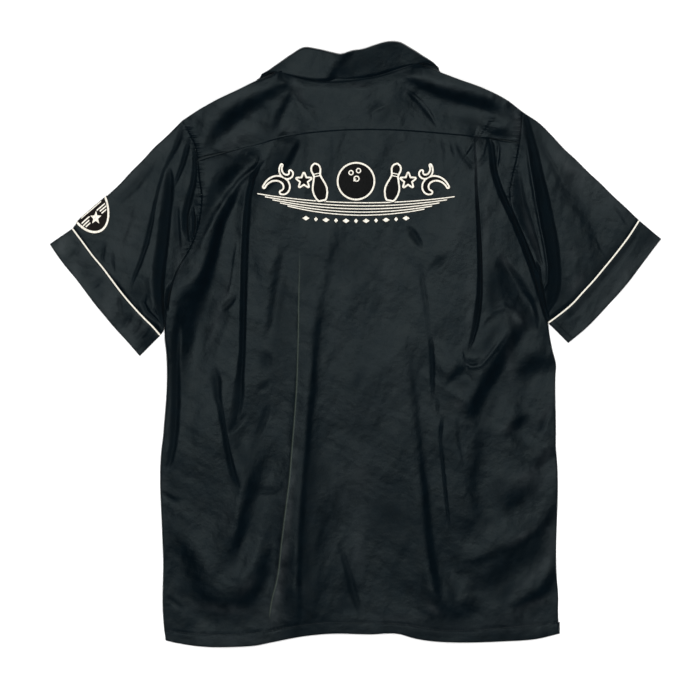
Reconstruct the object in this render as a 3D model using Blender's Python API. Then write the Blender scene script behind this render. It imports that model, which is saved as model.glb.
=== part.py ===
# A short-sleeved bowling shirt laid flat, face down, on a surface.
# X runs across the shirt, Y from hem to collar, Z up. Tables are in millimetres; the meshes are in metres.
# The lower layer (fronts, facings, undersides of the tubes) rests on z = 0, and the upper layer
# (back, yoke, tops of the tubes) lies on it, LAYER higher, with its pleats and largest folds.

import math
from bisect import bisect_right
from collections import namedtuple

import bpy
from mathutils import Vector

MM = 0.001

# Driving sizes, mm
WALL = 1.1                  # cloth
GAP = 0.3                   # between pieces
LAYER = WALL + GAP          # from the middle of one layer to the middle of the next
BUTTON_DIAMETER = 11.5
BUTTON_THICK = 2.0
BUTTON_RISE = BUTTON_THICK + GAP
PLACKET_HALF = 17.5         # each front passes the centre line by this much
BREAK_Y = 216.0             # where the lapels turn back
FACING_START = 248.0        # the two lapels part here
YOKE_TURN = 30.0            # how far the yoke comes down over the shoulder to the front
PIPING_WIDTH = 3.2
PIPING_PROUD = 0.6
PLEAT_STEP = 3.0            # three layers of cloth at a pleat
SEAM_CLEAR = 0.05           # over GAP where two pieces meet at a seam, because both are faceted
LAPEL_RISE = LAYER + 0.5    # how far the collar and lapels lift what lies on them
LAPEL_NEAR, LAPEL_FADE = 28.0, 30.0     # full lift within the first, none beyond both together
COLLAR_CLEAR = 1.9          # middle of the collar's fall above the middle of the yoke
COLLAR_TURN = 1.5           # half the height of the collar's roll
COLLAR_SEAM = GAP + 0.15    # from the yoke's top edge to the collar's
SHOULDER_PUFF = 0.5         # the shoulder fold is this much rounder than two layers of cloth
FOLD_INSET = 1.4            # a tube's layers stop this far inside its side folds

Side = namedtuple("Side", "y left right")
Spot = namedtuple("Spot", "x y")
Pleat = namedtuple("Pleat", "y left right underlap open step")
Height = namedtuple("Height", "y beside middle")
Fold = namedtuple("Fold", "name x0 y0 x1 y1 x2 y2 wide high")
Roll = namedtuple("Roll", "x roll_x roll_y edge_x edge_y")

# Sides of the body: hem to armpit, then along the armholes
SIDES = [
    Side(-394, -247.0, 268.0),
    Side(-376, -248.5, 267.0),
    Side(-338, -250.5, 263.5),
    Side(-229, -252.0, 262.0),
    Side(-120, -249.0, 260.0),
    Side(-42, -246.5, 260.5),
    Side(6, -248.0, 255.0),
    Side(36, -246.0, 247.7),
    Side(68, -241.0, 234.7),
    Side(100, -230.0, 220.0),
    Side(122, -217.0, 211.5),
    Side(148, -205.0, 204.5),
    Side(184, -200.0, 200.3),
    Side(214, -203.0, 203.5),
    Side(240, -205.5, 209.0),
    Side(262, -210.0, 213.0),
    Side(280, -217.0, 215.0),
    Side(302, -226.0, 217.0),
]
ARMPIT_ROW = 30             # the back's row that ends at both armpits

HEM = [
    Spot(-252, -384.0), Spot(-231, -388.7), Spot(-194, -393.0), Spot(-158, -393.0), Spot(-109, -387.5),
    Spot(-67, -379.6), Spot(-37, -376.5), Spot(19, -377.0), Spot(58, -376.7), Spot(75, -381.8),
    Spot(107, -386.6), Spot(193, -386.0), Spot(237, -382.7), Spot(268, -375.5),
]
YOKE_SEAM = [
    Spot(-205, 238.0), Spot(-155, 252.2), Spot(-97, 269.6), Spot(-63, 274.0),
    Spot(25, 278.2), Spot(107, 274.0), Spot(158, 269.0), Spot(213, 259.7),
]
SHOULDER_LEFT = [
    Spot(-226, 290.0), Spot(-207, 301.6), Spot(-180, 317.2), Spot(-148, 332.8),
    Spot(-128, 343.2), Spot(-91, 357.0),
]
SHOULDER_RIGHT = [
    Spot(77, 366.0), Spot(107, 356.2), Spot(136, 342.6), Spot(164, 332.8),
    Spot(196, 317.2), Spot(217, 301.5),
]
NECK = [
    Spot(-91, 357.0), Spot(-63, 350.0), Spot(-35, 346.5), Spot(-7, 345.5), Spot(21, 348.0), Spot(49, 356.0),
    Spot(77, 366.0),
]
NECK_LEFT, NECK_RIGHT = NECK[0].x, NECK[-1].x

# The two knife pleats under the yoke: the fold's edge, how far the cloth goes under it, how far it
# has opened out (0 folded, 1 open) and the height from the lowest layer to the highest
PLEATS = [
    Pleat(-394, -150.0, 161.0, 0.0, 1.0, 0.3),
    Pleat(-230, -150.0, 161.0, 0.0, 1.0, 0.6),
    Pleat(-56, -149.0, 161.0, 0.0, 1.0, 1.0),
    Pleat(64, -146.0, 160.5, 0.0, 1.0, 1.8),
    Pleat(100, -144.0, 159.5, 0.0, 0.9, 2.4),
    Pleat(135, -143.0, 158.0, 2.0, 0.6, 2.8),
    Pleat(170, -139.0, 156.5, 6.0, 0.0, PLEAT_STEP),
    Pleat(205, -133.0, 156.0, 10.0, 0.0, PLEAT_STEP),
    Pleat(235, -127.0, 155.6, 12.0, 0.0, PLEAT_STEP),
    Pleat(270, -124.0, 155.4, 14.0, 0.0, PLEAT_STEP),
]
# Height of the back above its lowest possible place, beside the pleats and down the middle
BACK_HEIGHT = [
    Height(-394, 1.0, 1.8), Height(-330, 1.5, 3.2), Height(-300, 1.7, 4.3), Height(-56, 2.0, 4.2),
    Height(100, 1.6, 4.2), Height(200, 0.8, 4.3), Height(270, 0.7, 4.2),
]
# Largest folds of the upper layer: start, middle, end, reach to each side and height
FOLDS = [
    Fold("side roll", -170, 165, -183, 110, -205, 62, 15, 3.0),
    Fold("pleat roll", -131, 190, -136, 60, -141, -50, 13, 2.4),
    Fold("long crease", -73, 122, -83, -120, -107, -343, 10, 2.6),
    Fold("left drape", -128, -135, -147, -220, -172, -275, 15, 3.0),
    Fold("hem drape", -222, -280, -165, -322, -106, -260, 14, 2.8),
    Fold("left side", -226, 50, -231, -60, -236, -150, 13, 2.6),
    Fold("middle fold", -26, 120, -50, -40, -68, -330, 13, 2.2),
    Fold("right fold", 62, -30, 80, -190, 104, -330, 13, 3.0),
    Fold("right cloud", 140, 0, 180, 32, 226, 30, 14, 3.0),
    Fold("right slant", 222, -20, 185, -48, 152, -82, 14, 2.6),
    Fold("right low", 150, -262, 205, -258, 250, -215, 16, 3.0),
    Fold("right corner", 140, -300, 190, -330, 245, -325, 15, 2.6),
    Fold("armhole roll", 186, 245, 205, 165, 236, 85, 13, 3.4),
    Fold("yoke left", -100, 345, -165, 305, -190, 265, 14, 2.6),
    Fold("yoke right", 75, 345, 140, 322, 190, 285, 14, 2.6),
]

ROWS = [-394, -352, -310, -268, -226, -184, -142, -100, -62, -25, 10, 30, 68, 100, 135, 170, 205, 235, 270]
BUTTON_ROWS = [200.0, 85.0, -30.0, -145.0, -260.0]
BUTTON_NEAR = 13.0          # the front lies flat on a button within this
BUTTON_REACH = 30.0         # and comes down to the surface again this far from it
HOLE_RADIUS = 0.9
HOLE_SPREAD = 1.7           # from the button's middle to each of its four holes
PLACKET_COLUMNS = [PLACKET_HALF, 8.0, -8.0, -PLACKET_HALF, -26.0]

# Sleeves: the upper fold runs from the shoulder to the cuff; piping and cuff edges run from there down
SLEEVE_LEFT_FOLD = [Spot(-226, 290), Spot(-276, 239.2), Spot(-323, 192.4), Spot(-367.3, 147)]
SLEEVE_RIGHT_FOLD = [
    Spot(217, 301.5), Spot(240, 286), Spot(270, 255), Spot(302, 223.6), Spot(335, 192.4), Spot(368.6, 160),
]
PIPING_LEFT = [
    Spot(-367.3, 147), Spot(-341.3, 114.4), Spot(-316.6, 83.2), Spot(-291.9, 52), Spot(-262, 20.8),
    Spot(-254, 10),
]
PIPING_RIGHT = [
    Spot(368.6, 160), Spot(323, 98.8), Spot(295.8, 67.6), Spot(281.5, 52), Spot(268, 39.8), Spot(256.5, 29),
]
CUFF_LEFT = [
    Spot(-397.2, 130), Spot(-386.8, 114.4), Spot(-338.7, 52), Spot(-284, -10.4), Spot(-280.2, -15.6),
]
CUFF_RIGHT = [
    Spot(397.2, 136.5), Spot(392, 130), Spot(356.9, 83.2), Spot(315.3, 36.4), Spot(281.5, 5.2),
    Spot(276.3, 1.3),
]
SLEEVE_STEPS = [0.0, 0.12, 0.3, 0.48, 0.64, 0.76, 0.88, 1.0]
SLEEVE_DOME = 1.4           # rise of the upper layer inward from the side folds, over SLEEVE_DOME_REACH
SLEEVE_DOME_REACH = 50.0
SLEEVE_PUFF = 0.4           # the two layers lie this much further apart than LAYER
SLEEVE_SETTLE = 0.3         # part of the sleeve's length over which it takes its own height
CUFF_PARTS = [0.0, 0.2, 0.4, 0.6, 0.8, 1.0]

# Badge: an oval wrapped over the left sleeve's upper fold
BADGE_ALONG = 55.0          # its size along the sleeve
BADGE_ROUND = 80.0          # and round it
BADGE_MIDDLE_ROUND = -10.0  # its middle lies this far past the fold, on the lower side
BADGE_MIDDLE_ALONG = 0.80   # and at this part of the sleeve's length
BADGE_THICK = 1.0
BADGE_REACH = 62.0          # the sleeve rises over the badge's lower half within this reach
BADGE_FADE = 26.0           # and comes down over this
BADGE_CLEAR = 0.35          # over GAP, because both surfaces are faceted
BADGE_RISE = BADGE_THICK + GAP + BADGE_CLEAR

# Back of the collar: the roll's silhouette and the fall's lower edge at each place on the neck seam
COLLAR_BACK = [
    Roll(-80, -101.0, 364.0, -112.0, 352.5),
    Roll(-63, -76.0, 379.0, -84.0, 346.5),
    Roll(-35, -46.0, 383.5, -48.0, 341.2),
    Roll(-7, -20.0, 377.5, -18.0, 340.8),
    Roll(21, 22.0, 388.0, 18.0, 346.5),
    Roll(49, 56.0, 391.0, 58.0, 357.0),
    Roll(68, 84.0, 374.0, 90.0, 363.5),
]
# Taking the leaf round the shoulder: side of the fold it is on, how far in its seam, stand, bulge off
# the shoulder line and distance inside it
Wrap = namedtuple("Wrap", "level root stand bulge inward")
COLLAR_WRAP = [
    Wrap(-1, 9.0, 1.5, 0.0, 8.0),
    Wrap(-1, 2.5, 5.0, 0.5, 0.5),
    Wrap(0, 0.0, 13.2, 1.0, 0.0),
    Wrap(1, 0.0, 15.5, 0.6, 0.5),
    Wrap(1, 1.0, 20.0, 0.3, 8.0),
]
COLLAR_POINT = Spot(-150, 266)
LAPEL_POINT = Spot(-128, 250)
NOTCH = Spot(-112, 288)
GORGE_ALONG = 0.30          # the collar meets the lapel at this part of the roll line

BLACK = (0.012, 0.016, 0.017)
IVORY = (0.80, 0.76, 0.66)
BADGE_BROWN = (0.030, 0.022, 0.018)


def smooth(key, rows, column, name):
    """Value of a named column at key, on a smooth curve through the table's rows."""
    keys = [getattr(row, name) for row in rows]
    values = [getattr(row, column) for row in rows]
    key = min(max(key, keys[0]), keys[-1])
    i = min(max(bisect_right(keys, key) - 1, 0), len(keys) - 2)
    span = keys[i + 1] - keys[i]

    def slope(j):
        a, b = max(j - 1, 0), min(j + 1, len(keys) - 1)
        return (values[b] - values[a]) / (keys[b] - keys[a]) * span

    t = (key - keys[i]) / span
    return (values[i] * (2 * t**3 - 3 * t**2 + 1) + slope(i) * (t**3 - 2 * t**2 + t)
            + values[i + 1] * (3 * t**2 - 2 * t**3) + slope(i + 1) * (t**3 - t**2))


def mix(a, b, t):
    return a + (b - a) * t


def ease(t):
    t = min(max(t, 0.0), 1.0)
    return t * t * (3 - 2 * t)


def along(spots, t):
    """Point at part t of the length of the line through the spots."""
    points = [Vector((s.x, s.y)) for s in spots]
    lengths = [(b - a).length for a, b in zip(points, points[1:])]
    reach = t * sum(lengths)
    for a, b, length in zip(points, points[1:], lengths):
        if reach <= length:
            return a.lerp(b, reach / length)
        reach -= length
    return points[-1]


def left_side(y):
    return smooth(y, SIDES, "left", "y")


def right_side(y):
    return smooth(y, SIDES, "right", "y")


def hem(x):
    return smooth(x, HEM, "y", "x")


def yoke_seam(x):
    return smooth(x, YOKE_SEAM, "y", "x")


def yoke_top(x):
    rows = SHOULDER_LEFT if x < NECK_LEFT else SHOULDER_RIGHT if x > NECK_RIGHT else NECK
    return smooth(x, rows, "y", "x")


def polygon_distance(x, y, spots):
    """Distance from a point to an outline, 0 inside it."""
    inside = False
    nearest = 1e9
    p = Vector((x, y))
    for a, b in zip(spots, spots[1:] + spots[:1]):
        start, end = Vector((a.x, a.y)), Vector((b.x, b.y))
        t = min(max((p - start).dot(end - start) / (end - start).length_squared, 0.0), 1.0)
        nearest = min(nearest, (p - start.lerp(end, t)).length)
        if (a.y > y) != (b.y > y) and x < a.x + (y - a.y) * (b.x - a.x) / (b.y - a.y):
            inside = not inside
    return 0.0 if inside else nearest


def mirrored(spots):
    """The same spots on the right half; the neck's middle lies a little left of the centre line."""
    middle = (NECK_LEFT + NECK_RIGHT) / 2
    return [Spot(2 * middle - s.x, s.y + 6) for s in spots]


def roll_line(side, y):
    """X of the lapel's roll line, and of the front's edge below the break; side is -1 left, 1 right."""
    edge = -side * PLACKET_HALF
    if y <= BREAK_Y:
        return edge
    neck = NECK[0] if side < 0 else NECK[-1]
    return mix(edge, neck.x, (y - BREAK_Y) / (neck.y - BREAK_Y))


LAPEL_LEFT = [
    Spot(PLACKET_HALF, BREAK_Y), LAPEL_POINT, NOTCH, COLLAR_POINT, Spot(-131, 338), Spot(NECK_LEFT, 352),
]
LAPELS = [LAPEL_LEFT, mirrored([LAPEL_LEFT[0]._replace(x=4)] + LAPEL_LEFT[1:])]


def lapel_rise(x, y):
    """The fronts lie on the collar's points and the lapels, so they rise by one layer there."""
    near = min(polygon_distance(x, y, outline) for outline in LAPELS)
    return LAPEL_RISE * (1 - ease((near - LAPEL_NEAR) / LAPEL_FADE))


def button_rise(x, y):
    near = min(math.hypot(x, y - row) for row in BUTTON_ROWS)
    return BUTTON_RISE * (1 - ease((near - BUTTON_NEAR) / (BUTTON_REACH - BUTTON_NEAR)))


def fold_rise(x, y):
    """Sum of the folds at a point: rounded ridges along bent lines, fading at both ends."""
    total = 0.0
    p = Vector((x, y))
    for fold in FOLDS:
        points = [Vector((fold.x0, fold.y0)), Vector((fold.x1, fold.y1)), Vector((fold.x2, fold.y2))]
        nearest, part = 1e9, 0.0
        for i in range(2):
            a, b = points[i], points[i + 1]
            t = min(max((p - a).dot(b - a) / (b - a).length_squared, 0.0), 1.0)
            distance = (p - a.lerp(b, t)).length
            if distance < nearest:
                nearest, part = distance, (i + t) / 2
        ends = math.sin(math.pi * min(max(part, 0.0), 1.0)) ** 0.5
        total += fold.high * ends * math.exp(-(nearest / fold.wide) ** 2)
    return total


def material(name, colour, roughness):
    made = bpy.data.materials.new(name)
    made.use_nodes = True
    shader = made.node_tree.nodes["Principled BSDF"]
    shader.inputs["Base Color"].default_value = (*colour, 1)
    shader.inputs["Roughness"].default_value = roughness
    shader.inputs["Metallic"].default_value = 0.0
    return made


def sheet(name, rows, colour, wall=WALL, ring=False, roughness=0.38, keep=None):
    """A wall of cloth through a grid of points in mm, its middle on the grid; a ring closes each row."""
    count = len(rows[0])
    keep = keep or (lambda i, j: True)
    faces = []
    for i in range(len(rows) - 1):
        for j in range(count if ring else count - 1):
            if keep(i, j):
                k = (j + 1) % count
                faces.append((i * count + j, i * count + k, (i + 1) * count + k, (i + 1) * count + j))
    used = sorted({v for face in faces for v in face})
    order = {v: n for n, v in enumerate(used)}
    points = [p for row in rows for p in row]
    mesh = bpy.data.meshes.new(name)
    mesh.from_pydata([points[v] * MM for v in used], [], [[order[v] for v in face] for face in faces])
    mesh.materials.append(material(name, colour, roughness))
    made = bpy.data.objects.new(name, mesh)
    bpy.context.collection.objects.link(made)
    thick = made.modifiers.new("Wall", "SOLIDIFY")
    thick.thickness = wall * MM
    thick.offset = 0.0
    return made


def pleat_at(y):
    return {c: smooth(y, PLEATS, c, "y") for c in ("left", "right", "underlap", "open", "step")}


def pleat_columns(y):
    """Offsets outward from the pleat's edge and levels 1 (top layer) to 0 (bottom layer)."""
    here = pleat_at(y)
    under = max(here["underlap"], 1.6)
    opened = min(max(here["open"], 0.0), 1.0)
    folded = [-(under + 8), -0.7, 0.0, -0.7, -under + 0.7, -under, -under + 0.7, 5.0]
    spread = [-24, -14, -8, -3, 3, 8, 14, 24]
    stacked = [1, 1, 0.75, 0.5, 0.5, 0.25, 0, 0]
    sloped = [1, 0.95, 0.8, 0.62, 0.38, 0.2, 0.05, 0]
    offsets = [mix(a, b, opened) for a, b in zip(folded, spread)]
    levels = [mix(a, b, opened) for a, b in zip(stacked, sloped)]
    return offsets, levels


SIDE_PARTS = [0.0, 0.26, 0.52, 0.78]
MIDDLE_PARTS = [1 / 8 * i for i in range(1, 8)]


def back_row(level):
    """One row of the back from left to right: side, pleat, middle, pleat, side."""
    v = (level - ROWS[0]) / (ROWS[-1] - ROWS[0])
    here = pleat_at(level)
    beside = smooth(level, BACK_HEIGHT, "beside", "y")
    middle = smooth(level, BACK_HEIGHT, "middle", "y")
    offsets, levels = pleat_columns(level)
    top = beside + here["step"]

    def place(x_of, rise, folds=1.0):
        x = x_of(level)
        for _ in range(4):
            y = mix(hem(x), yoke_seam(x), v)
            x = x_of(y)
        z = WALL / 2 + LAYER + lapel_rise(x, y) + rise + folds * fold_rise(x, y)
        return Vector((x, y, z))

    left_out, right_out = here["left"] - offsets[7], here["right"] + offsets[7]
    left_in, right_in = here["left"] - offsets[0], here["right"] + offsets[0]
    row = [place(lambda y, u=u: mix(left_side(y), left_out, u), beside * ease(u * 1.25)) for u in SIDE_PARTS]
    row += [place(lambda y, k=k: here["left"] - offsets[k], beside + here["step"] * levels[k],
                  here["open"]) for k in range(7, -1, -1)]
    row += [place(lambda y, u=u: mix(left_in, right_in, u), mix(top, middle, ease(min(u, 1 - u) * 4)))
            for u in MIDDLE_PARTS]
    row += [place(lambda y, k=k: here["right"] + offsets[k], beside + here["step"] * levels[k],
                  here["open"]) for k in range(8)]
    row += [place(lambda y, u=u: mix(right_side(y), right_out, u), beside * ease(u * 1.25))
            for u in reversed(SIDE_PARTS)]
    return row


def make_back():
    rows = [back_row(level) for level in ROWS]
    sheet("back", rows, BLACK)
    return rows


def yoke_columns(back_top):
    """The back's seam points, leaving out the hidden layers of the two pleats."""
    side, middle = len(SIDE_PARTS), len(MIDDLE_PARTS)
    left = [side, side + 5, side + 7]
    right = [side + 8 + middle, side + 8 + middle + 2, side + 8 + middle + 7]
    keep = list(range(side)) + left + list(range(side + 8, side + 8 + middle)) + right
    keep += list(range(side + 16 + middle, 2 * side + 16 + middle))
    return [back_top[i] for i in keep]


YOKE_PARTS = [0.0, 0.28, 0.52, 0.78, 1.0]


def shoulder_heights(x, y):
    """Heights of the middle of the lower and upper layers beside the shoulder fold."""
    lower = WALL / 2 + lapel_rise(x, y)
    return lower, lower + LAYER + SHOULDER_PUFF


def outward(x):
    """Unit normal, in plan, pointing off the shirt at the shoulder line."""
    slope = (yoke_top(x + 2) - yoke_top(x - 2)) / 4
    return Vector((-slope, 1.0)).normalized()


def make_yoke(back_rows):
    seam = [p + Vector((0, GAP + SEAM_CLEAR, 0)) for p in yoke_columns(back_rows[-1])]
    ends = seam[0].x, seam[-1].x
    tops = []
    for p in seam:
        part = (p.x - ends[0]) / (ends[1] - ends[0])
        tops.append(mix(SHOULDER_LEFT[0].x + 2, SHOULDER_RIGHT[-1].x - 2, part))
    left_neck = min(range(len(tops)), key=lambda i: abs(tops[i] - NECK_LEFT))
    right_neck = min(range(len(tops)), key=lambda i: abs(tops[i] - NECK_RIGHT))
    tops[left_neck], tops[right_neck] = NECK_LEFT, NECK_RIGHT
    rows = [[] for _ in range(len(YOKE_PARTS) + 4)]
    down = Vector((0, -1))
    for j, (p, x) in enumerate(zip(seam, tops)):
        is_neck = left_neck <= j <= right_neck
        edge = Vector((x, yoke_top(x)))
        lower, upper = shoulder_heights(x, edge.y - 10)
        out = outward(min(max(x, SHOULDER_LEFT[0].x + 3), SHOULDER_RIGHT[-1].x - 3))
        round_ = (upper - lower) / 2
        inset = 0.0 if left_neck < j < right_neck else WALL / 2 + round_
        top = edge - out * inset
        crest = mix(0.6, 3.4, ease((min(x - SHOULDER_LEFT[0].x, SHOULDER_RIGHT[-1].x - x) - 60) / 90))
        z_top = upper + (crest * 0.4 if is_neck else 0.0)
        for i, v in enumerate(YOKE_PARTS):
            plan = Vector((p.x, p.y)).lerp(top, v)
            if j == 0:
                plan.x = mix(left_side(plan.y), plan.x, 1.0 if v == 1.0 else 0.0)
            if j == len(tops) - 1:
                plan.x = mix(right_side(plan.y), plan.x, 1.0 if v == 1.0 else 0.0)
            z = mix(p.z, z_top, ease(v)) + (math.sin(math.pi * v) * fold_rise(plan.x, plan.y))
            z = max(z, WALL / 2 + LAYER + lapel_rise(plan.x, plan.y) + 0.1)
            rows[i].append(Vector((plan.x, plan.y, z)))
        low = edge - out * (WALL / 2 + round_)
        mid = edge - out * (WALL / 2)
        rows[len(YOKE_PARTS)].append(Vector((mid.x, mid.y, (lower + upper) / 2)))
        for n, reach in enumerate((0.0, 0.45, 1.0)):
            plan = low + down * (YOKE_TURN - 6) * reach
            if j == 0:
                plan.x = mix(low.x, left_side(plan.y), reach)
            elif j == len(tops) - 1:
                plan.x = mix(low.x, right_side(plan.y), reach)
            elif j == left_neck:
                plan.x = roll_line(-1, plan.y)
            elif j == right_neck:
                plan.x = roll_line(1, plan.y)
            z = WALL / 2 + lapel_rise(plan.x, plan.y)
            rows[len(YOKE_PARTS) + 1 + n].append(Vector((plan.x, plan.y, z)))
    for first, final in ((0, left_neck), (right_neck, len(tops) - 1)):
        a, b = rows[-1][first].copy(), rows[-1][final].copy()
        for point in rows[-1][first + 1:final]:
            point.y = mix(a.y, b.y, (point.x - a.x) / (b.x - a.x))
    last = len(YOKE_PARTS) - 1
    sheet("yoke", rows, BLACK, keep=lambda i, j: i < last or j < left_neck or j >= right_neck)
    return rows, left_neck, right_neck


TOP_LEVEL = 310             # the front's rows end here on the shoulder seam
BEND_LEVEL = BUTTON_ROWS[0] + 28    # and slope towards it from here
PLACKET_LAYER = LAYER + 0.4
PLACKET_OVER = 27.0         # the right front lies over the left one this far from the centre line
HEM_REACH = 90.0            # the rows take the hem's dips within this height


def front_levels():
    levels = [ROWS[0] + 14, -345, -310]
    for row in reversed(BUTTON_ROWS):
        levels += [row - 28, row - 10, row + 10, row + 28]
    return sorted(levels + [142, 252, 280, TOP_LEVEL])


def make_front(side, yoke_rows, first, last):
    """A front: side -1 left, 1 right. The right one lies over the left one along the placket."""
    strip = yoke_rows[-1][first:last + 1]
    outer, inner = (strip[0], strip[-1]) if side < 0 else (strip[-1], strip[0])
    flank = left_side if side < 0 else right_side
    rows = []
    for level in front_levels():
        up = max((level - BEND_LEVEL) / (TOP_LEVEL - BEND_LEVEL), 0.0)
        row = []
        width = abs(flank(level) - roll_line(side, level))
        near = [abs(c - PLACKET_HALF) for c in PLACKET_COLUMNS]
        rest = [mix(near[-1], width, t) for t in (0.25, 0.5, 0.75, 1.0)]
        for reach in near + rest:
            part = reach / width
            seam = Vector((inner.x, inner.y)).lerp(Vector((outer.x, outer.y)), part)
            dip = hem(roll_line(side, level) + side * reach) - HEM[0].y
            dip *= 1 - ease((level - ROWS[0]) / HEM_REACH)
            y = level + dip if up == 0 else mix(BEND_LEVEL, seam.y - GAP - SEAM_CLEAR, up)
            x = roll_line(side, y) + side * mix(reach, part * abs(outer.x - inner.x), up)
            if reach == rest[-1]:
                x = flank(y)
            z = WALL / 2 + max(lapel_rise(x, y), button_rise(x, y))
            if side > 0:
                over = (1 - ease((abs(x) - PLACKET_OVER) / 25)) * (1 - ease((level - BREAK_Y - 30) / 30))
                z += PLACKET_LAYER * over
            row.append(Vector((x, y, z)))
        rows.append(row)
    sheet("front_left" if side < 0 else "front_right", rows, BLACK)
    return rows


def gorge_spot(side):
    """Where the collar meets the lapel on the roll line."""
    neck = NECK[0] if side < 0 else NECK[-1]
    y = mix(neck.y, BREAK_Y, GORGE_ALONG)
    return Spot(roll_line(side, y), y)


def make_facing(side):
    """The turned-back lapel: a flat piece on the surface, under the front."""
    outline = LAPELS[0] if side < 0 else LAPELS[1]
    gorge = gorge_spot(side)
    inner_levels = FACING_START, mix(FACING_START, gorge.y, 0.5), gorge.y - 1.0
    inner = [Spot(roll_line(side, y), y) for y in inner_levels]
    tip, point = outline[1], outline[3]
    notch = Spot(mix(gorge.x, point.x, 0.55), mix(gorge.y, point.y, 0.55) - 1.0)
    outer = [Spot(mix(inner[0].x, tip.x, 0.2), mix(inner[0].y, tip.y, 0.2)), tip, notch]
    rows = []
    for part in (0.0, 0.35, 0.7, 1.0):
        row = []
        for a, b in zip(inner, outer):
            row.append(Vector((mix(a.x, b.x, part), mix(a.y, b.y, part), WALL / 2)))
        rows.append(row)
    sheet("facing_left" if side < 0 else "facing_right", rows, BLACK)


def collar_section(seam, roll, edge, turn):
    """Stand from the neck seam to the roll, a round turn, and the fall to its edge."""
    out = Vector((roll.x - seam.x, roll.y - seam.y, 0)).normalized()
    stand_top = Vector((roll.x, roll.y, seam.z)) - out * turn
    fall_top = Vector((roll.x, roll.y, seam.z + 2 * turn)) - out * turn
    tip = Vector((roll.x, roll.y, seam.z + turn))
    return [seam, seam.lerp(stand_top, 0.5), stand_top, tip, fall_top,
            fall_top.lerp(edge, 0.35), fall_top.lerp(edge, 0.7), edge]


def collar_front(side):
    """Sections from the gorge to the shoulder: the leaf lies flat on the surface, under the front."""
    outline = LAPELS[0] if side < 0 else LAPELS[1]
    point, shoulder_edge = outline[3], outline[4]
    neck_y = outline[5].y
    sections = []
    for part in (0.0, 0.36, 0.74):
        y = mix(gorge_spot(side).y + 0.5, neck_y - 8, part)
        x = roll_line(side, y) - side * (GAP + 0.1)
        seam = Vector((x, y, WALL / 2 + LAYER))
        bend = ease(part)
        edge = Vector((mix(point.x, shoulder_edge.x, part) + side * 3 * math.sin(math.pi * part),
                       mix(point.y, shoulder_edge.y - 4, mix(part, bend, 0.4)), WALL / 2))
        stand = Vector((x - side * 0.8, y, WALL / 2 + LAYER))
        tip = Vector((x - side * 1.5, y, WALL / 2 + LAYER / 2))
        under = Vector((x - side * 0.8, y, WALL / 2))
        sections.append([seam, seam.lerp(stand, 0.5), stand, tip, under,
                         under.lerp(edge, 0.35), under.lerp(edge, 0.7), edge])
    return sections


def height_on(rows, x, y, otherwise):
    """Highest point of a grid of points over a plan point."""
    found = otherwise
    for upper, lower in zip(rows, rows[1:]):
        for j in range(len(upper) - 1):
            for a, b, c in ((upper[j], upper[j + 1], lower[j + 1]), (upper[j], lower[j + 1], lower[j])):
                area = (b.x - a.x) * (c.y - a.y) - (c.x - a.x) * (b.y - a.y)
                if abs(area) < 1e-9:
                    continue
                u = ((x - a.x) * (c.y - a.y) - (c.x - a.x) * (y - a.y)) / area
                v = ((b.x - a.x) * (y - a.y) - (x - a.x) * (b.y - a.y)) / area
                if u >= 0 and v >= 0 and u + v <= 1:
                    found = max(found, a.z + u * (b.z - a.z) + v * (c.z - a.z))
    return found


def collar_wrap(side, yoke_main, neck_top):
    """Sections that take the leaf round the shoulder fold, from the underside to the top."""
    neck = NECK[0] if side < 0 else NECK[-1]
    x_end = -130.0 if side < 0 else 109.0
    out = outward(neck.x + side * 10)
    across = Vector((side, 0))
    lower, upper = shoulder_heights(neck.x + side * 8, neck.y - 10)
    middle = (lower + upper) / 2
    sections = []
    for step in COLLAR_WRAP:
        root_y = neck.y - step.root
        root = Vector((roll_line(side, root_y) - side * (GAP + 0.1), root_y))
        seam_z = {-1: WALL / 2 + LAYER, 0: middle, 1: upper}[step.level]
        fall_z = {-1: WALL / 2, 0: middle, 1: upper + 3.0}[step.level]
        if step.level == 0:
            root = Vector((neck.x - side * (GAP + 0.2), neck.y + 0.3))
        elif step.level == 1 and step.root == 0:
            root = Vector((neck.x - side * 1.6, neck.y + 0.4))
        elif step.level == 1:
            root = neck_top.to_2d() + Vector((0, COLLAR_SEAM))
            seam_z = neck_top.z
            fall_z = seam_z + 3.0
        reach = step.stand
        row = [Vector((*root, seam_z)), Vector((*(root + out * reach * 0.5 - across * 0.3), seam_z))]
        row.append(Vector((*(root + out * (reach - 1.4) - across * 0.5), seam_z)))
        row.append(Vector((*(root + out * reach + across * 0.8), (seam_z + fall_z) / 2)))
        row.append(Vector((*(root + out * (reach - 1.2) + across * 2.6), fall_z)))
        for part, bulge in ((0.36, 10.0), (0.7, 6.0), (1.0, 2.4)):
            x = mix(neck.x, x_end, part)
            near = min(max(x, SHOULDER_LEFT[0].x), NECK_LEFT) if side < 0 else max(x, NECK_RIGHT)
            off = outward(near + side * 6) * (bulge * step.bulge - step.inward)
            plan = Vector((x, yoke_top(near))) + off
            if step.level == 1:
                z = height_on(yoke_main, plan.x, plan.y, upper) + COLLAR_CLEAR
            else:
                z = fall_z
            row.append(Vector((plan.x, plan.y, z)))
        sections.append(row)
    return sections


def collar_back(yoke_main, left_neck, right_neck):
    sections = []
    for point in yoke_main[-1][left_neck + 1:right_neck]:
        seam = point + Vector((0, COLLAR_SEAM, 0))
        here = {c: smooth(point.x, COLLAR_BACK, c, "x") for c in ("roll_x", "roll_y", "edge_x", "edge_y")}
        edge_z = height_on(yoke_main, here["edge_x"], here["edge_y"], point.z) + COLLAR_CLEAR + 0.3
        edge = Vector((here["edge_x"], here["edge_y"], edge_z))
        roll = Vector((here["roll_x"], here["roll_y"], 0))
        sections.append(collar_section(seam, roll, edge, COLLAR_TURN))
    return sections


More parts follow.
